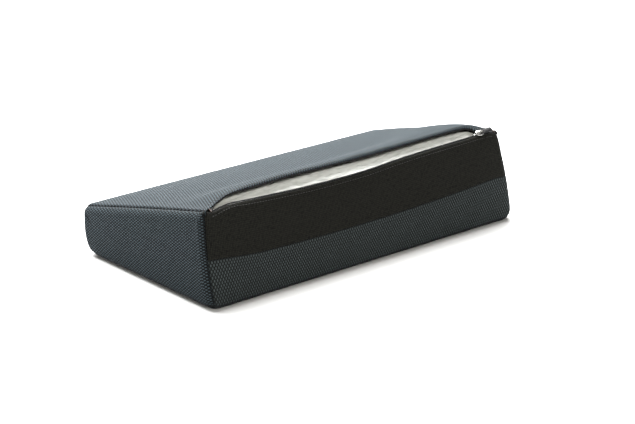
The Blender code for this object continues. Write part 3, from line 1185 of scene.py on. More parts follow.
@dataclass
class Cover:
    """The sewn outer cover: seven panels that meet along seams, and lips along the zip."""

    wedge: Wedge
    mouth: Mouth
    thickness: float = 0.9 * MM
    groove: float = 1.1 * MM
    groove_width: float = 0.9 * MM
    pucker: float = 0.384 * MM  # how deep the cloth is puckered beside a seam
    pucker_waves: float = 130  # and how many such waves a metre holds
    pucker_reach: float = 9 * MM
    seam_shade: float = 1.3 * MM  # how far from a seam the cloth is painted darker, as painted shade for the seam's groove
    foot: tuple[float, float] = (0.5 * MM, 8 * MM)  # the swell starts at this height, and is full after this
    calm: float = 12 * MM  # the swell is full this far behind a fold
    lip_depth: float = 3 * MM  # deeper than this below the rim, a point isn't on a lip
    stitch_line: float = 3.4 * MM  # from a fold to the stitches behind it
    dimple: float = 0.4 * MM
    dimple_width: float = 0.8 * MM
    allowance: float = 2 * MM  # how far a panel's edge turns in at a seam
    overlap: float = 0.06 * MM  # how far it runs past the seam's middle, so that no light shows
    lift: float = 0.1 * MM  # of the allowance above the floor
    corner_in: float = 1.5 * MM  # how far a bottom corner is drawn in from each side
    corner_up: float = 2.5 * MM  # and up
    corner_aside: float = 13 * MM  # how far that reaches sideways
    corner_tall: float = 15 * MM  # and upwards
    rows: tuple[float, ...] = (-2.0 * MM, -0.8 * MM, 0.0, 0.8 * MM, 2.0 * MM)
    hem: tuple[tuple[float, float], ...] = (  # the turned lip, as how far behind its fold and how deep
        (-0.45 * MM, 0.7 * MM), (-0.1 * MM, 1.6 * MM), (6 * MM, 2.0 * MM)
    )
    fold_cuts: tuple[float, ...] = (1.2 * MM, 2.4 * MM, 3.8 * MM, 5.4 * MM, 7.4 * MM, 10 * MM)
    swell: Callable[[Vector], float] = field(default=lambda point: 0.0)
    mesh_finish: SpacerMesh = SpacerMesh("diamond_mesh")
    # painted light: the ends' copy of the cloth has a thread painted slightly lighter than the top's, to
    # match the ends in their own light; its turned diamonds follow the cloth's real lie
    end_finish: SpacerMesh = SpacerMesh(
        "diamond_mesh_on_end_painted_lighter", thread=(0.0345, 0.0520, 0.0610), wide=5.4, tall=2.8
    )
    # painted light: the band's copy of the same cloth is painted lighter and greyer, with paler openings, to
    # match the band in the weaker light on its side
    band_finish: SpacerMesh = SpacerMesh(
        "diamond_mesh_on_band_painted_lighter", thread=(0.0400, 0.0510, 0.0520), ground=(0.004, 0.0048, 0.0046)
    )
    black_finish: PlainWeave = PlainWeave(
        "black_weave", (0.0112, 0.0112, 0.0086), (0.0008, 0.0008, 0.0006), 1.7
    )
    base_finish: PlainWeave = PlainWeave("base_weave", (0.018, 0.022, 0.024), (0.004, 0.005, 0.005), 1.4)

    def _seam_planes(self) -> list[tuple[Vector, Vector, float]]:
        """Each seam's plane as a point and a normal, and how strongly it draws the cloth in and darkens it
        with painted shade.

        Returns:
            A row of (point, normal, strength) for each plane.
        """
        wedge = self.wedge
        planes = []
        for sign in (-1, 1):
            normal = wedge.end_normal(sign)
            start = Vector((sign * wedge.length / 2, 0, 0)) - wedge.end_seam * normal
            planes.append((start, normal, 1.0))
        front = wedge.front_top - wedge.radius * (wedge.up + wedge.down)
        planes.append((front, (wedge.up - wedge.down).normalized(), 0.8))
        planes.append((Vector((0, 0, wedge.bottom_seam)), Vector((0, 0, 1)), 0.45))
        planes.append((Vector((0, 0, wedge.band_height)), Vector((0, 0, 1)), 0.2))
        return planes

    def _drafted(self) -> bmesh.types.BMesh:
        """The closed cover, cut into cells and along its seams.

        Returns:
            The closed mesh, not yet shaped.
        """
        wedge = self.wedge
        bm = wedge.draft(0, wedge.cell)
        for start, normal, _ in self._seam_planes():
            for row in self.rows:
                cut(bm, start + row * normal, normal)
        turn = self.mouth.lap / wedge.radius
        centre = wedge.rear_top - wedge.radius * (wedge.up - wedge.down)
        for sign in (-1, 1):
            cut(bm, centre + sign * wedge.radius * math.sin(turn) * wedge.across, wedge.across)
        cut(bm, centre, wedge.across)
        for extra in self.fold_cuts:
            cut(bm, wedge.rear_top + (wedge.radius + extra) * wedge.down, wedge.down)
        for tip in self.mouth.tips:
            cut(bm, Vector((tip, 0, 0)), Vector((1, 0, 0)))
        return bm

    def _panel_of(self, point: Vector) -> Panel | None:
        """Which panel a face belongs to, from its middle on the draft; none in the zip's slot.

        Args:
            point: a place on the draft, in metres.

        Returns:
            The panel, or None.
        """
        wedge = self.wedge
        if point.z < wedge.bottom_seam:
            return Panel.BOTTOM
        if wedge.from_end(point, -1) < wedge.end_seam:
            return Panel.LEFT_END
        if wedge.from_end(point, 1) < wedge.end_seam:
            return Panel.RIGHT_END
        along, depth = wedge.on_rim(point)
        left, right = self.mouth.tips
        if abs(along) < self.mouth.lap and depth < wedge.radius and left < point.x < right:
            return None
        down, over = wedge.section(point)
        if down > wedge.top_depth / 2:
            return Panel.TOP if over > down - wedge.top_depth else Panel.FRONT
        if down + over > 0:
            return Panel.TOP
        return Panel.REAR_BLACK if point.z > wedge.band_height else Panel.REAR_BAND

    def _nearest_seam(self, point: Vector) -> tuple[float, float]:
        """How far a point of the draft lies from its nearest seam, and that seam's strength.

        Args:
            point: a place on the draft, in metres.

        Returns:
            The distance in metres, and the strength.
        """
        wedge = self.wedge
        down, over = wedge.section(point)
        from_ends = min(wedge.from_end(point, sign) for sign in (-1, 1))
        on_rear = abs(down) < wedge.radius and from_ends > wedge.end_seam
        at_front_top = point.y > 0 and over > -2 * wedge.radius
        nearest = (1.0, 0.0)
        for start, normal, strength in self._seam_planes():
            front_seam = not normal.x and normal.y
            band_seam = normal.z == 1 and start.z == wedge.band_height
            if (front_seam and not at_front_top) or (band_seam and not on_rear):
                continue
            nearest = min(nearest, (abs(normal.dot(point - start)), strength))
        return nearest

    def _corner(self, point: Vector) -> Vector:
        """How far a point of the draft is drawn in where three panels meet at a bottom corner.

        Args:
            point: a place on the draft, in metres.

        Returns:
            The shift, in metres.
        """
        wedge = self.wedge
        right = 1 if point.x > 0 else -1
        rear, _ = wedge.section(point)
        front = wedge.top_depth - rear
        inward = 1 if rear < front else -1
        near = fading(wedge.from_end(point, right) / self.corner_aside)
        near *= fading(min(rear, front) / self.corner_aside) * fading(point.z / self.corner_tall)
        return near * Vector((-right * self.corner_in, inward * self.corner_in, self.corner_up))

    def _shape(self, bm: bmesh.types.BMesh) -> None:
        """Eases, opens, puffs and grooves the draft, and notes how near each point is to a seam, for the
        painted shade beside the seams.

        Args:
            bm: the mesh, which is changed.
        """
        layer = bm.verts.layers.float.new("seam")
        notes = []
        for vert in bm.verts:
            seam, strength = self._nearest_seam(vert.co)
            along, depth = self.wedge.on_rim(vert.co)
            behind = abs(along) - self.mouth.lap
            on_lip = depth < self.lip_depth and abs(vert.co.x) < self.mouth.tips[1]
            groove = strength * math.exp(-((seam / self.groove_width) ** 2))
            notes.append((seam, groove, behind if on_lip else 1.0, self.swell(vert.co), vert.co.copy()))
            # painted shade: how much the cloth's colour is darkened beside a seam, where its groove lies in
            # shade
            vert[layer] = strength * math.exp(-((seam / self.seam_shade) ** 2))
        for vert in bm.verts:
            vert.co = self.mouth.shaped(vert.co)
        bm.normal_update()
        for vert, (seam, groove, behind, swell, draft) in zip(bm.verts, notes):
            wave = noise.noise(draft * self.pucker_waves) * self.pucker * math.exp(-seam / self.pucker_reach)
            dimple = self.dimple * math.exp(-(((behind - self.stitch_line) / self.dimple_width) ** 2))
            flat = smooth((draft.z - self.foot[0]) / self.foot[1])
            near_fold = smooth(behind / self.calm) if behind < 1 else 1.0
            vert.co += vert.normal * (flat * (swell * near_fold + wave) - groove * self.groove - dimple)
            vert.co += self._corner(draft)
            vert.co.z = max(vert.co.z, 0.0)
        outward = bm.verts.layers.float_vector.new("outward")
        bm.normal_update()
        for vert in bm.verts:
            vert[outward] = vert.normal

    def _hem(self, bm: bmesh.types.BMesh, side: Side, lips: set[int]) -> None:
        """Turns a lip's edge under: round the fold and back beneath the panel.

        Args:
            bm: the panel's mesh, which is changed.
            side: which side of the zip.
            lips: the numbers of the lip's vertices.
        """
        edges = [e for e in bm.edges if e.is_boundary and all(v.index in lips for v in e.verts)]
        for behind, depth in self.hem:
            grown = bmesh.ops.extrude_edge_only(bm, edges=edges)
            edges = [e for e in grown["geom"] if isinstance(e, bmesh.types.BMEdge)]
            for vert in moved_vertices(grown["geom"]):
                vert.co = self.mouth.place(side, vert.co.x, behind, depth)

    def _tuck(self, bm: bmesh.types.BMesh, skip: set[int]) -> None:
        """Turns the seam allowance in along a panel's sewn edges.

        Args:
            bm: the panel's mesh, which is changed.
            skip: the numbers of the vertices that stay as they are.
        """
        edges = [e for e in bm.edges if e.is_boundary and not all(v.index in skip for v in e.verts)]
        verts = {v for e in edges for v in e.verts if v.index not in skip}
        shifts = {}
        for vert in verts:
            middle = sum((f.calc_center_median() for f in vert.link_faces), Vector())
            inward = middle / len(vert.link_faces) - vert.co
            shifts[vert] = inward.normalized() * -self.overlap
        for vert, shift in shifts.items():
            vert.co += shift
        outward = bm.verts.layers.float_vector["outward"]
        grown = bmesh.ops.extrude_edge_only(bm, edges=edges)
        for vert in moved_vertices(grown["geom"]):
            vert.co -= vert[outward] * self.allowance
            vert.co.z = max(vert.co.z, self.lift)

    def _panel(self, whole: bmesh.types.BMesh, panel: Panel, owners: list) -> bmesh.types.BMesh:
        """One panel cut out of the shaped cover, with its lip and its seam allowances.

        Args:
            whole: the shaped cover.
            panel: the panel.
            owners: the panel of each face.

        Returns:
            The panel's mesh.
        """
        bm = whole.copy()
        bm.faces.ensure_lookup_table()
        others = [f for f in bm.faces if owners[f.index] is not panel]
        bmesh.ops.delete(bm, geom=others, context="FACES")
        lip = bm.verts.layers.int["lip"]
        bm.verts.index_update()
        bm.normal_update()
        lips = {v.index for v in bm.verts if v[lip] and v.is_boundary}
        self._tuck(bm, lips)
        if lips:
            side = Side.UPPER if panel is Panel.TOP else Side.LOWER
            self._hem(bm, side, lips)
        return bm

    def _unwrapped(self, bm: bmesh.types.BMesh, owners: list) -> None:
        """Lays each panel flat for its cloth's pattern.

        Args:
            bm: the drafted cover, which gains its UV map.
            owners: the panel of each face.
        """
        layer = bm.loops.layers.uv.new("cloth")
        for face, panel in zip(bm.faces, owners):
            if panel is None:
                continue
            for loop in face.loops:
                loop[layer].uv = self.wedge.cloth_place(panel, loop.vert.co)

    def build(self) -> list[bpy.types.Object]:
        """The seven panels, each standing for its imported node.

        Returns:
            The panels' objects.
        """
        whole = self._drafted()
        whole.faces.ensure_lookup_table()
        whole.faces.index_update()
        owners = [self._panel_of(f.calc_center_median()) for f in whole.faces]
        self._unwrapped(whole, owners)
        lip = whole.verts.layers.int.new("lip")
        left, right = self.mouth.tips
        for vert in whole.verts:
            along, depth = self.wedge.on_rim(vert.co)
            at_fold = abs(abs(along) - self.mouth.lap) < 0.3 * MM and depth < 1 * MM
            vert[lip] = int(at_fold and left - 1e-5 < vert.co.x < right + 1e-5)
        self._shape(whole)
        whole.faces.index_update()
        weave = self.mesh_finish.build()
        finishes = {
            Panel.LEFT_END: self.end_finish.build(),
            Panel.REAR_BLACK: self.black_finish.build(),
            Panel.REAR_BAND: self.band_finish.build(),
            Panel.BOTTOM: self.base_finish.build(),
        }
        finishes[Panel.RIGHT_END] = finishes[Panel.LEFT_END]
        made = []
        for panel in Panel:
            bm = self._panel(whole, panel, owners)
            skin = piece_of("cover_" + panel.value, bm, finishes.get(panel, weave), outward=False)
            wall(skin, self.thickness)
            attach(skin, "cushion")
            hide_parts(panel.value)
            LOG.info("%s: %d faces", skin.name, len(skin.data.polygons))
            made.append(skin)
        whole.free()
        return made


# ---------------------------------------------------------------- the zip


@dataclass
class Zip:
    """The two tapes with their coils, the stops, and the stitches that hold them to the panels."""

    mouth: Mouth
    coil_ends: tuple[float, float] = (-182 * MM, 187 * MM)
    coil_radius: float = 0.82 * MM
    coil_wire: float = 0.2 * MM
    coil_pitch: float = 1.27 * MM
    coil_points: int = 8
    coil_flatness: float = 0.8  # its height as a share of its width
    cord_points: int = 180
    coil_gap: float = 0.12 * MM  # from the closed zip's middle to a coil
    coil_depth: float = 0.9 * MM
    tape_depth: float = 2.3 * MM
    tape_width: float = 10 * MM
    tape_thickness: float = 0.5 * MM
    stitch_length: float = 2.5 * MM
    stitch_pitch: float = 3.3 * MM
    stitch_behind: float = 3.4 * MM
    stitch_radius: float = 0.27 * MM
    stitch_sunk: float = 0.16 * MM  # into the cloth
    stitch_margin: float = 4 * MM  # from each of the zip's tips
    stop_length: float = 1.6 * MM
    tuck: float = 1.1 * MM  # how much further the open upper lip's tape and coil sit under its fold
    tape_finish: PlainWeave = PlainWeave("tape_weave", (0.018, 0.018, 0.019), (0.005, 0.005, 0.005), 0.7)
    coil_finish: Grained = Grained(
        "coil_nylon", (0.010, 0.010, 0.011), (0.03, 0.03, 0.032), 2200, 0.02 * MM, (0.32, 0.5)
    )
    thread_finish: Grained = Grained(
        "sewing_thread", (0.020, 0.020, 0.019), (0.011, 0.011, 0.010), 5200, 0.05 * MM, (0.6, 0.8)
    )
    stop_finish: Grained = Grained(
        "blackened_brass", (0.030, 0.022, 0.019), (0.090, 0.050, 0.036), 3000, 0.015 * MM, (0.35, 0.5), 0.6
    )

    def _behind(self, side: Side, x: float, across: float) -> float:
        """How far behind its fold a point lies that is this far across from the zip's middle."""
        tucked = self.tuck * self.mouth.parting(x) if side is Side.UPPER else 0.0
        return across + tucked - self.mouth.lap

    def _tape(self, side: Side, material: bpy.types.Material) -> bpy.types.Object:
        """One tape, from beneath its coil to its hidden edge.

        Args:
            side: which side of the zip.
            material: its finish.

        Returns:
            The tape.
        """
        left, right = (tip + sign * 0.5 * MM for tip, sign in zip(self.mouth.tips, (1, -1)))
        bm = bmesh.new()
        bmesh.ops.create_grid(bm, x_segments=190, y_segments=11, size=0.5, calc_uvs=True)
        uv = bm.loops.layers.uv.verify()
        for face in bm.faces:
            for loop in face.loops:
                x, y, _ = loop.vert.co
                loop[uv].uv = ((x + 0.5) * (right - left) / MM, (y + 0.5) * self.tape_width / MM)
        for vert in bm.verts:
            x = left + (vert.co.x + 0.5) * (right - left)
            behind = self._behind(side, x, self.coil_gap + (vert.co.y + 0.5) * self.tape_width)
            vert.co = self.mouth.place(side, x, behind, self.tape_depth)
        if side is Side.LOWER:
            bmesh.ops.reverse_faces(bm, faces=bm.faces[:])
        made = piece_of(f"zip_{side.name.lower()}_tape_cloth", bm, material, outward=False)
        wall(made, self.tape_thickness)
        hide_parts(f"zip_{side.name.lower()}_tape")
        return made

    def _coil(self, side: Side, material: bpy.types.Material) -> bpy.types.Object:
        """One row of coil: a flattened helix of nylon along the tape's edge.

        Args:
            side: which side of the zip.
            material: its finish.

        Returns:
            The row of coil.
        """
        start, end = self.coil_ends
        turns = round((end - start) / self.coil_pitch)
        count = turns * self.coil_points
        points = []
        for i in range(count):
            turn = 2 * HALF_TURN * i / self.coil_points + (HALF_TURN if side is Side.LOWER else 0)
            x = start + (end - start) * i / count
            across = self.coil_gap + self.coil_radius * (1 + math.cos(turn))
            depth = self.coil_depth + self.coil_flatness * self.coil_radius * math.sin(turn)
            points.append(self.mouth.place(side, x, self._behind(side, x, across), depth))
        mesh = swept(points, self.coil_wire)
        made = piece_of(f"zip_{side.name.lower()}_coil_turns", mesh, material)
        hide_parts(f"zip_{side.name.lower()}_coil")
        return made

    def _cord(self, side: Side, material: bpy.types.Material) -> bpy.types.Object:
        """The core cord that the coil is sewn down over.

        Args:
            side: which side of the zip.
            material: its finish.

        Returns:
            The cord.
        """
        start, end = self.coil_ends
        points = []
        for i in range(self.cord_points + 1):
            x = start + (end - start) * i / self.cord_points
            behind = self._behind(side, x, self.coil_gap + self.coil_radius)
            points.append(self.mouth.place(side, x, behind, self.coil_depth))
        mesh = swept(points, 0.5 * self.coil_radius)
        return piece_of(f"zip_{side.name.lower()}_core_cord", mesh, material)

    def _stitches(self, side: Side, material: bpy.types.Material) -> bpy.types.Object:
        """The row of stitches behind a fold, each a short thread whose ends dive into the cloth.

        Args:
            side: which side of the zip.
            material: its finish.

        Returns:
            The row of stitches.
        """
        left, right = self.mouth.tips
        count = int((right - left - 2 * self.stitch_margin) / self.stitch_pitch)
        bm = bmesh.new()
        for i in range(count):
            x = left + self.stitch_margin + (i + 0.5) * self.stitch_pitch
            half = self.stitch_length / 2
            ends = [self.mouth.place(side, x + s * half, self.stitch_behind, 0.0) for s in (-1, 1)]
            top = self.mouth.place(side, x, self.stitch_behind, -0.1 * MM)
            along = (ends[1] - ends[0]).normalized()
            out = (top - (ends[0] + ends[1]) / 2).normalized()
            axes = Matrix((along, out.cross(along), out)).transposed().to_4x4()
            size = Matrix.Diagonal((half, self.stitch_radius, self.stitch_radius, 1))
            middle = (ends[0] + ends[1]) / 2 - self.stitch_sunk * out
            place = Matrix.Translation(middle) @ axes @ size
            bmesh.ops.create_uvsphere(bm, u_segments=8, v_segments=4, radius=1, matrix=place)
        return piece_of(f"zip_{side.name.lower()}_stitches", bm, material)

    def _stops(self, material: bpy.types.Material) -> list[bpy.types.Object]:
        """The metal stops that end the coils: one across both, and one on each.

        Args:
            material: its finish.

        Returns:
            The three stops.
        """
        wedge = self.mouth.wedge
        reach = self.coil_gap + 2 * self.coil_radius + 0.35 * MM
        high = 0.25 * MM
        low = -self.coil_depth - self.coil_radius
        rows = (
            ("zip_bottom_stop", self.coil_ends[1] - 0.2 * MM, 1, -reach, reach),
            ("zip_upper_top_stop", self.coil_ends[0] + 0.2 * MM, -1, 0.1 * MM, reach),
            ("zip_lower_top_stop", self.coil_ends[0] + 0.2 * MM, -1, -reach, -0.1 * MM),
        )
        made = []
        for name, start, sign, near, far in rows:
            first, last = sorted((0.0, sign * self.stop_length))
            bm = box((first, near, low), (last, far, high), 0.3 * MM)
            shut = wedge.at(start, *wedge.rim(0))
            place = shut + wedge.eased(shut) - shut
            axes = Matrix((Vector((1, 0, 0)), wedge.across, wedge.out)).transposed().to_4x4()
            bm.transform(Matrix.Translation(place) @ axes)
            stop = piece_of(name + "_clamp", bm, material)
            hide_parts(name)
            made.append(stop)
        return made

    def build(self) -> None:
        """Makes the zip's fixed pieces."""
        tape = self.tape_finish.build()
        nylon = self.coil_finish.build()
        thread = self.thread_finish.build()
        for side in Side:
            for slot, piece in (
                ("zip_tape", self._tape(side, tape)),
                ("zip_coil", self._coil(side, nylon)),
                ("zip_coil", self._cord(side, tape)),
                ("zip_tape", self._stitches(side, thread)),
            ):
                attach(piece, "cushion")
                LOG.info("%s: %d faces", piece.name, len(piece.data.polygons))
        for piece in self._stops(self.stop_finish.build()):
            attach(piece, "cushion")
            LOG.info("%s: %d faces", piece.name, len(piece.data.polygons))


@dataclass
class Slider:
    """The slider and its pull tab, drawn about the tab's pin: x along the zip, y across, z out."""

    hinge: Vector
    along: Vector
    across: Vector
    pin_height: float = 2.4 * MM  # of the tab's pin above the closed zip
    plate_low: float = 0.5 * MM
    plate_high: float = 1.5 * MM
    under_low: float = -3.35 * MM
    under_high: float = -2.7 * MM
    rounding: float = 0.28 * MM
    bridge_half: float = 4.2 * MM
    bridge_bar: float = 0.95 * MM
    bridge_top: float = 4.15 * MM
    bridge_width: float = 0.8 * MM
    tab_length: float = 16.5 * MM
    tab_half: float = 2.6 * MM
    tab_thickness: float = 0.9 * MM
    tab_arm: float = 1.1 * MM
    metal_finish: Grained = Grained(
        "slider_nickel", (0.52, 0.515, 0.495), (0.34, 0.33, 0.31), 2600, 0.012 * MM, (0.20, 0.42), 1.0,
        (0.5, 0.8),
    )
    enamel_finish: Grained = Grained(
        "tab_enamel", (0.008, 0.008, 0.009), (0.10, 0.098, 0.092), 2400, 0.01 * MM, (0.42, 0.6), 0.0,
        (0.66, 0.74), 0.22,
    )

    @property
    def _place(self) -> Matrix:
        """The slider's own axes, with the closed zip's surface at height 0.

        Returns:
            The axes as a matrix.
        """
        out = self.along.cross(self.across).normalized()
        axes = Matrix((self.along, self.across, out)).transposed().to_4x4()
        return Matrix.Translation(self.hinge - self.pin_height * out) @ axes

    def _outline(self, grow: float) -> list[tuple[float, float]]:
        """A plate's outline: broad shoulders at the open side, drawn in towards the closed one.

        Args:
            grow: how much wider it is, in metres.

        Returns:
            Its corners in x and y, in order.
        """
        half = [(-5.0, 1.5), (-4.5, 2.6), (-3.4, 3.35), (-1.6, 3.5)]
        half += [(1.4, 3.15), (3.6, 2.7), (4.7, 2.0), (5.0, 1.2)]
        points = [(x * MM, y * MM + grow) for x, y in half]
        return points + [(x, -y) for x, y in reversed(points)]

    def _bridge(self) -> bmesh.types.BMesh:
        """The arched bridge that the tab hangs on.

        Returns:
            The bridge's mesh.
        """
        base = self.plate_high - 0.3 * MM
        rise = self.bridge_top - base
        steps = [HALF_TURN * i / 16 for i in range(17)]
        flat = 0.7  # below 1, the arch is squarer than a half circle

        def arch(half: float, height: float) -> list[tuple[float, float]]:
            """A flattened arch as (x, z)."""
            xs = [half * math.copysign(abs(math.cos(t)) ** flat, math.cos(t)) for t in steps]
            return [(x, base + height * math.sin(t) ** flat) for x, t in zip(xs, steps)]

        outer = arch(self.bridge_half, rise)
        inner = arch(self.bridge_half - self.bridge_bar, rise - self.bridge_bar)
        bm = bmesh.new()
        rows = [[bm.verts.new((x, -self.bridge_width, z)) for x, z in row] for row in (outer, inner)]
        for i in range(len(steps) - 1):
            bm.faces.new((rows[0][i], rows[0][i + 1], rows[1][i + 1], rows[1][i]))
        grown = bmesh.ops.extrude_face_region(bm, geom=bm.faces[:])
        shift = (0, 2 * self.bridge_width, 0)
        bmesh.ops.translate(bm, vec=shift, verts=moved_vertices(grown["geom"]))
        bmesh.ops.recalc_face_normals(bm, faces=bm.faces[:])
        rounded(bm, sharp_edges(bm), 0.22 * MM)
        return bm

    def _body(self) -> bmesh.types.BMesh:
        """Both plates with their flanges, the neck and the bridge.

        Returns:
            One mesh for the whole slider.
        """
        parts = [
            plate(self._outline(0), self.plate_low, self.plate_high, self.rounding),
            plate(self._outline(-0.05 * MM), self.under_low, self.under_high, 0.2 * MM),
            self._bridge(),
        ]
        neck = [(-4.6, 0.0), (-3.6, 0.75), (-1.4, 0.8), (0.2, 0.4), (0.2, -0.4), (-1.4, -0.8), (-3.6, -0.75)]
        corners = [(x * MM, y * MM) for x, y in neck]
        parts.append(plate(corners, self.under_high - 0.2 * MM, self.plate_low + 0.2 * MM, 0.1 * MM))
        for sign in (-1, 1):
            near, far = sorted((sign * 2.95 * MM, sign * 3.3 * MM))
            parts.append(box((-1.8 * MM, near, 0.0), (1.6 * MM, far, self.plate_low + 0.3 * MM), 0.12 * MM))
        low = (-4.4 * MM, -1.3 * MM, self.plate_high - 0.2 * MM)
        high = (-3.2 * MM, 1.3 * MM, self.plate_high + 0.3 * MM)
        return joined([*parts, box(low, high, 0.2 * MM)])

    def _tab(self) -> bmesh.types.BMesh:
        """The tab: a rounded bar on the pin, two arms, and a blade with a raised rim.

        Returns:
            One mesh for the whole tab.
        """
        half = self.tab_thickness / 2
        eye = self.bridge_half + 0.6 * MM
        inner = self.tab_half - self.tab_arm
        height = self.pin_height
        bm = bmesh.new()
        pin = Matrix.Translation((0, 0, height)) @ Matrix.Rotation(QUARTER_TURN, 4, "X")
        bmesh.ops.create_cone(
            bm, cap_ends=True, segments=16, radius1=half, radius2=half, depth=2 * self.tab_half, matrix=pin
        )
        rounded(bm, sharp_edges(bm, 1.0), 0.15 * MM)
        parts = [bm]
        for sign in (-1, 1):
            near, far = sorted((sign * inner, sign * self.tab_half))
            parts.append(box((0, near, height - half), (eye + 0.4 * MM, far, height + half), 0.3 * MM))
        turns = [QUARTER_TURN * (1 - 2 * i / 14) for i in range(15)]
        end = self.tab_length - self.tab_half
        tip = [(end + self.tab_half * math.cos(t), self.tab_half * math.sin(t)) for t in turns]
        blade = [(eye, self.tab_half), *tip, (eye, -self.tab_half)]
        parts.append(plate(blade, height - half, height + half, 0.3 * MM))
        share = 0.62
        grip = [(eye + 1.6 * MM, share * self.tab_half)]
        worn = share * self.tab_half
        grip += [(end + worn * math.cos(t), worn * math.sin(t)) for t in turns]
        grip.append((eye + 1.6 * MM, -share * self.tab_half))
        parts.append(plate(grip, height - half - 0.12 * MM, height + half + 0.12 * MM, 0.12 * MM))
        return joined(parts)

    def build(self) -> None:
        """Makes the slider and the tab, each on its own body."""
        rows = (
            ("slider_body", self._body(), self.metal_finish, "slider", "zip_slider_body"),
            ("pull_tab_blade", self._tab(), self.enamel_finish, "pull_tab", "zip_pull_tab"),
        )
        for name, bm, finish, body, node in rows:
            bm.transform(self._place)
            piece = piece_of(name, bm, finish.build())
            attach(piece, body)
            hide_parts(node)
            LOG.info("%s: %d faces", piece.name, len(piece.data.polygons))


# ---------------------------------------------------------------- the filling


@dataclass
class Filling:
    """The cotton liner, in three sewn pieces, and the foam wedge inside it."""

    wedge: Wedge
    mouth: Mouth
    depth: float = 2.8 * MM
    foam_depth: float = 6.5 * MM
    channel: float = 3.75 * MM  # how far below the closed zip the liner lies, to clear the slider
    channel_half: float = 3.9 * MM  # half of that channel's floor
    channel_edge: float = 2.2 * MM  # and the slope on each side of it
    clearance: float = 0.9 * MM  # between the liner and the raised fold
    rise: tuple[float, float] = (6.4 * MM, 4.4 * MM)  # down the top: where the push up starts, and its length
    rise_end: float = 11 * MM  # and where it starts to fade
    crease: float = 0.9 * MM
    crease_reach: tuple[float, float] = (14 * MM, 20 * MM)  # from the zip, full up to this, then fading
    thickness: float = 0.5 * MM
    cotton: CreasedCotton = CreasedCotton("creased_cotton")
    foam: Grained = Grained(
        "open_cell_foam", (0.78, 0.73, 0.60), (0.64, 0.58, 0.44), 900, 0.5 * MM, (0.9, 1.0), 0.0,
        (0.3, 0.8), 0.1,
    )

    def _shaped(self, point: Vector) -> Vector:
        """Where a point of the liner's draft goes: sunk under the slider, pushed up under the lip.

        Args:
            point: a place on the draft, in metres.

        Returns:
            Where it goes.
        """
        wedge, mouth = self.wedge, self.mouth
        along, depth = wedge.on_rim(point)
        if depth > 14 * MM:
            return wedge.eased(point)
        down, over = wedge.section(point)
        rise = 0.0
        if along > 0:
            room = max(0.0, mouth.fold_height(point.x) - self.clearance) * mouth.parting(point.x)
            rise = room * smooth((down - self.rise[0]) / self.rise[1])
            rise *= fading((down - self.rise_end) / mouth.ease(point.x))
        made = wedge.eased(point) + rise * wedge.up
        shut = wedge.at(point.x, *wedge.rim(0))
        zip_height = (made - wedge.eased(shut)).dot(wedge.out)
        beside = abs((made - wedge.eased(shut)).dot(wedge.across))
        sunk = max(0.0, zip_height + self.channel) * fading((beside - self.channel_half) / self.channel_edge)
        slant = Vector((point.x * 95 + point.y * 60, point.y * 210 - point.x * 40, point.z * 210))
        ridge = 1 - abs(noise.noise(slant)) * 2.4
        fold = self.crease * smooth(ridge) * smooth((depth + 1 * MM) / MM)
        fold *= fading((abs(along) - self.crease_reach[0]) / self.crease_reach[1])
        return made - (sunk + fold) * wedge.out

    def _drafted(self) -> bmesh.types.BMesh:
        """The liner's closed draft, finer where it shows in the mouth.

        Returns:
            The closed mesh, not yet shaped.
        """
        wedge = self.wedge
        bm = wedge.draft(self.depth, 9 * MM, 10)
        fine = 3 * MM
        steps = int(2 * 186 * MM / fine)
        near = []
        for face in bm.faces:
            down, over = wedge.section(face.calc_center_median())
            if down + over > -20 * MM and down < 40 * MM:
                near.append(face)
        for step in range(steps):
            faces = [f for f in near if f.is_valid]
            geom = list({v for f in faces for v in f.verts})
            geom += list({e for f in faces for e in f.edges}) + faces
            x = -186 * MM + step * fine
            done = bmesh.ops.bisect_plane(bm, geom=geom, dist=MERGE, plane_co=(x, 0, 0), plane_no=(1, 0, 0))
            near = [f for f in done["geom"] if isinstance(f, bmesh.types.BMFace)]
        for down in (6.4, 7.4, 8.2, 9.0, 9.8, 10.8, 12, 14, 18):
            cut(bm, wedge.rear_top + down * MM * wedge.down, wedge.down)
        return bm

    def _pieces(self) -> dict[str, Callable[[Vector], bool]]:
        """Which part of the liner each of its pieces holds.

        Returns:
            For each piece's node, a test of a place on the draft.
        """
        seam = 2 * self.wedge.end_seam
        return {
            "liner_wrap": lambda p: min(self.wedge.from_end(p, -1), self.wedge.from_end(p, 1)) >= seam,
            "liner_left_end": lambda p: self.wedge.from_end(p, -1) < seam,
            "liner_right_end": lambda p: self.wedge.from_end(p, 1) < seam,
        }

    def build(self) -> None:
        """Makes the liner's three pieces and the foam."""
        wedge = self.wedge
        bm = self._drafted()
        for sign in (-1, 1):
            normal = wedge.end_normal(sign)
            start = Vector((sign * wedge.length / 2, 0, 0)) - 2 * wedge.end_seam * normal
            cut(bm, start, normal)
        bm.faces.ensure_lookup_table()
        bm.faces.index_update()
        centres = [f.calc_center_median() for f in bm.faces]
        for vert in bm.verts:
            vert.co = self._shaped(vert.co)
        cotton = self.cotton.build()
        for name, holds in self._pieces().items():
            part = bm.copy()
            part.faces.ensure_lookup_table()
            others = [f for f in part.faces if not holds(centres[f.index])]
            bmesh.ops.delete(part, geom=others, context="FACES")
            piece = piece_of(name + "_cloth", part, cotton, outward=False)
            wall(piece, self.thickness)
            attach(piece, "cushion")
            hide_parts(name)
            LOG.info("%s: %d faces", piece.name, len(piece.data.polygons))
        bm.free()
        core = wedge.draft(self.foam_depth, 16 * MM, 4)
        for vert in core.verts:
            vert.co = wedge.eased(vert.co)
        foam = piece_of("foam_wedge", core, self.foam.build())
        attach(foam, "cushion")
        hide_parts("foam_core")
        LOG.info("%s: %d faces", foam.name, len(foam.data.polygons))


# ---------------------------------------------------------------- the studio


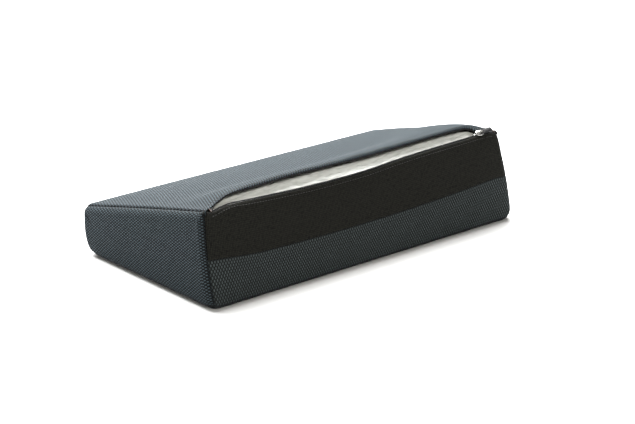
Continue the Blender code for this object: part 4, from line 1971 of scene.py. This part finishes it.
@dataclass(frozen=True)
class Lamp:
    """A soft rectangular light that looks at the cushion."""

    name: str
    place: tuple[float, float, float]
    size: tuple[float, float]
    power: float
    colour: Colour = (1.0, 1.0, 1.0)

    def build(self) -> None:
        """Makes the light."""
        light = bpy.data.lights.new(self.name, "AREA")
        light.shape = "RECTANGLE"
        light.size, light.size_y = self.size
        light.energy = self.power
        light.color = self.colour
        made = bpy.data.objects.new(self.name, light)
        made.location = self.place
        made.rotation_euler = (-Vector(self.place)).to_track_quat("-Z", "Y").to_euler()
        bpy.context.scene.collection.objects.link(made)


@dataclass(frozen=True)
class Studio:
    """A pale floor, soft lights and the camera."""

    azimuth: float = -40.6
    elevation: float = 19.5
    distance: float = 2.05
    aside: float = 15.4 * MM
    above: float = 23.0 * MM
    lens: float = 113.4
    sensor: float = 36.0
    floor_size: float = 30.0
    floor_tone: float = 0.55
    ambient: float = 0.32
    lamps: tuple[Lamp, ...] = (
        Lamp("overhead", (0.25, 0.8, 1.35), (1.9, 1.4), 205),
        Lamp("left_fill", (-1.9, -0.1, 0.7), (1.2, 1.0), 6),
        Lamp("camera_fill", (-0.7, -1.9, 1.2), (1.4, 1.0), 30, (1.0, 0.97, 0.87)),
    )

    def _camera(self) -> None:
        """The camera, on a ring round the cushion."""
        azimuth, elevation = math.radians(self.azimuth), math.radians(self.elevation)
        flat = math.cos(elevation)
        back = Vector((math.sin(azimuth) * flat, -math.cos(azimuth) * flat, math.sin(elevation)))
        right = Vector((math.cos(azimuth), math.sin(azimuth), 0))
        data = bpy.data.cameras.new("camera")
        data.lens = self.lens
        data.sensor_width = self.sensor
        data.clip_end = 60
        made = bpy.data.objects.new("camera", data)
        made.location = self.aside * right + self.above * back.cross(right) + self.distance * back
        made.rotation_euler = (-back).to_track_quat("-Z", "Y").to_euler()
        bpy.context.scene.collection.objects.link(made)
        bpy.context.scene.camera = made

    def build(self) -> None:
        """Makes the floor, the lights and the camera."""
        shade = Shade("floor_paper")
        mottle = shade.noise(shade.place(), 3.0)
        tone = self.floor_tone
        paper = shade.blend(mottle, (tone, tone, tone), (tone * 1.02, tone * 1.02, tone * 1.02))
        bm = bmesh.new()
        bmesh.ops.create_grid(bm, x_segments=2, y_segments=2, size=self.floor_size / 2)
        bmesh.ops.translate(bm, vec=(0, 0, -0.2 * MM), verts=bm.verts)
        floor = piece_of("floor", bm, shade.surface(Base_Color=paper, Roughness=0.9), outward=False)
        world = bpy.data.worlds.new("studio")
        world.use_nodes = True
        world.node_tree.nodes["Background"].inputs["Strength"].default_value = self.ambient
        world.node_tree.nodes["Background"].inputs["Color"].default_value = (1, 1, 1, 1)
        bpy.context.scene.world = world
        bpy.context.scene.view_settings.view_transform = "Standard"
        for lamp in self.lamps:
            lamp.build()
        self._camera()


def clear_scene() -> None:
    """Removes whatever the scene holds."""
    for old in list(bpy.data.objects):
        bpy.data.objects.remove(old, do_unlink=True)


def main() -> None:
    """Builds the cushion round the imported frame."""
    logging.basicConfig(level=logging.INFO, format="%(message)s")
    clear_scene()
    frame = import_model()
    swing = next(joint for joint in frame["joints"] if joint["name"] == "pull_tab_swing")
    slide = next(joint for joint in frame["joints"] if joint["name"] == "zip_slide")
    wedge = Wedge()
    mouth = Mouth(wedge)
    Studio().build()
    swell = Padding(wedge).swell()
    Cover(wedge, mouth, swell=swell).build()
    Zip(mouth).build()
    along = -Vector(slide["axis"])
    Slider(Vector(swing["pos_m"]), along, -Vector(swing["axis"])).build()
    Filling(wedge, mouth).build()


if __name__ == "__main__":
    main()
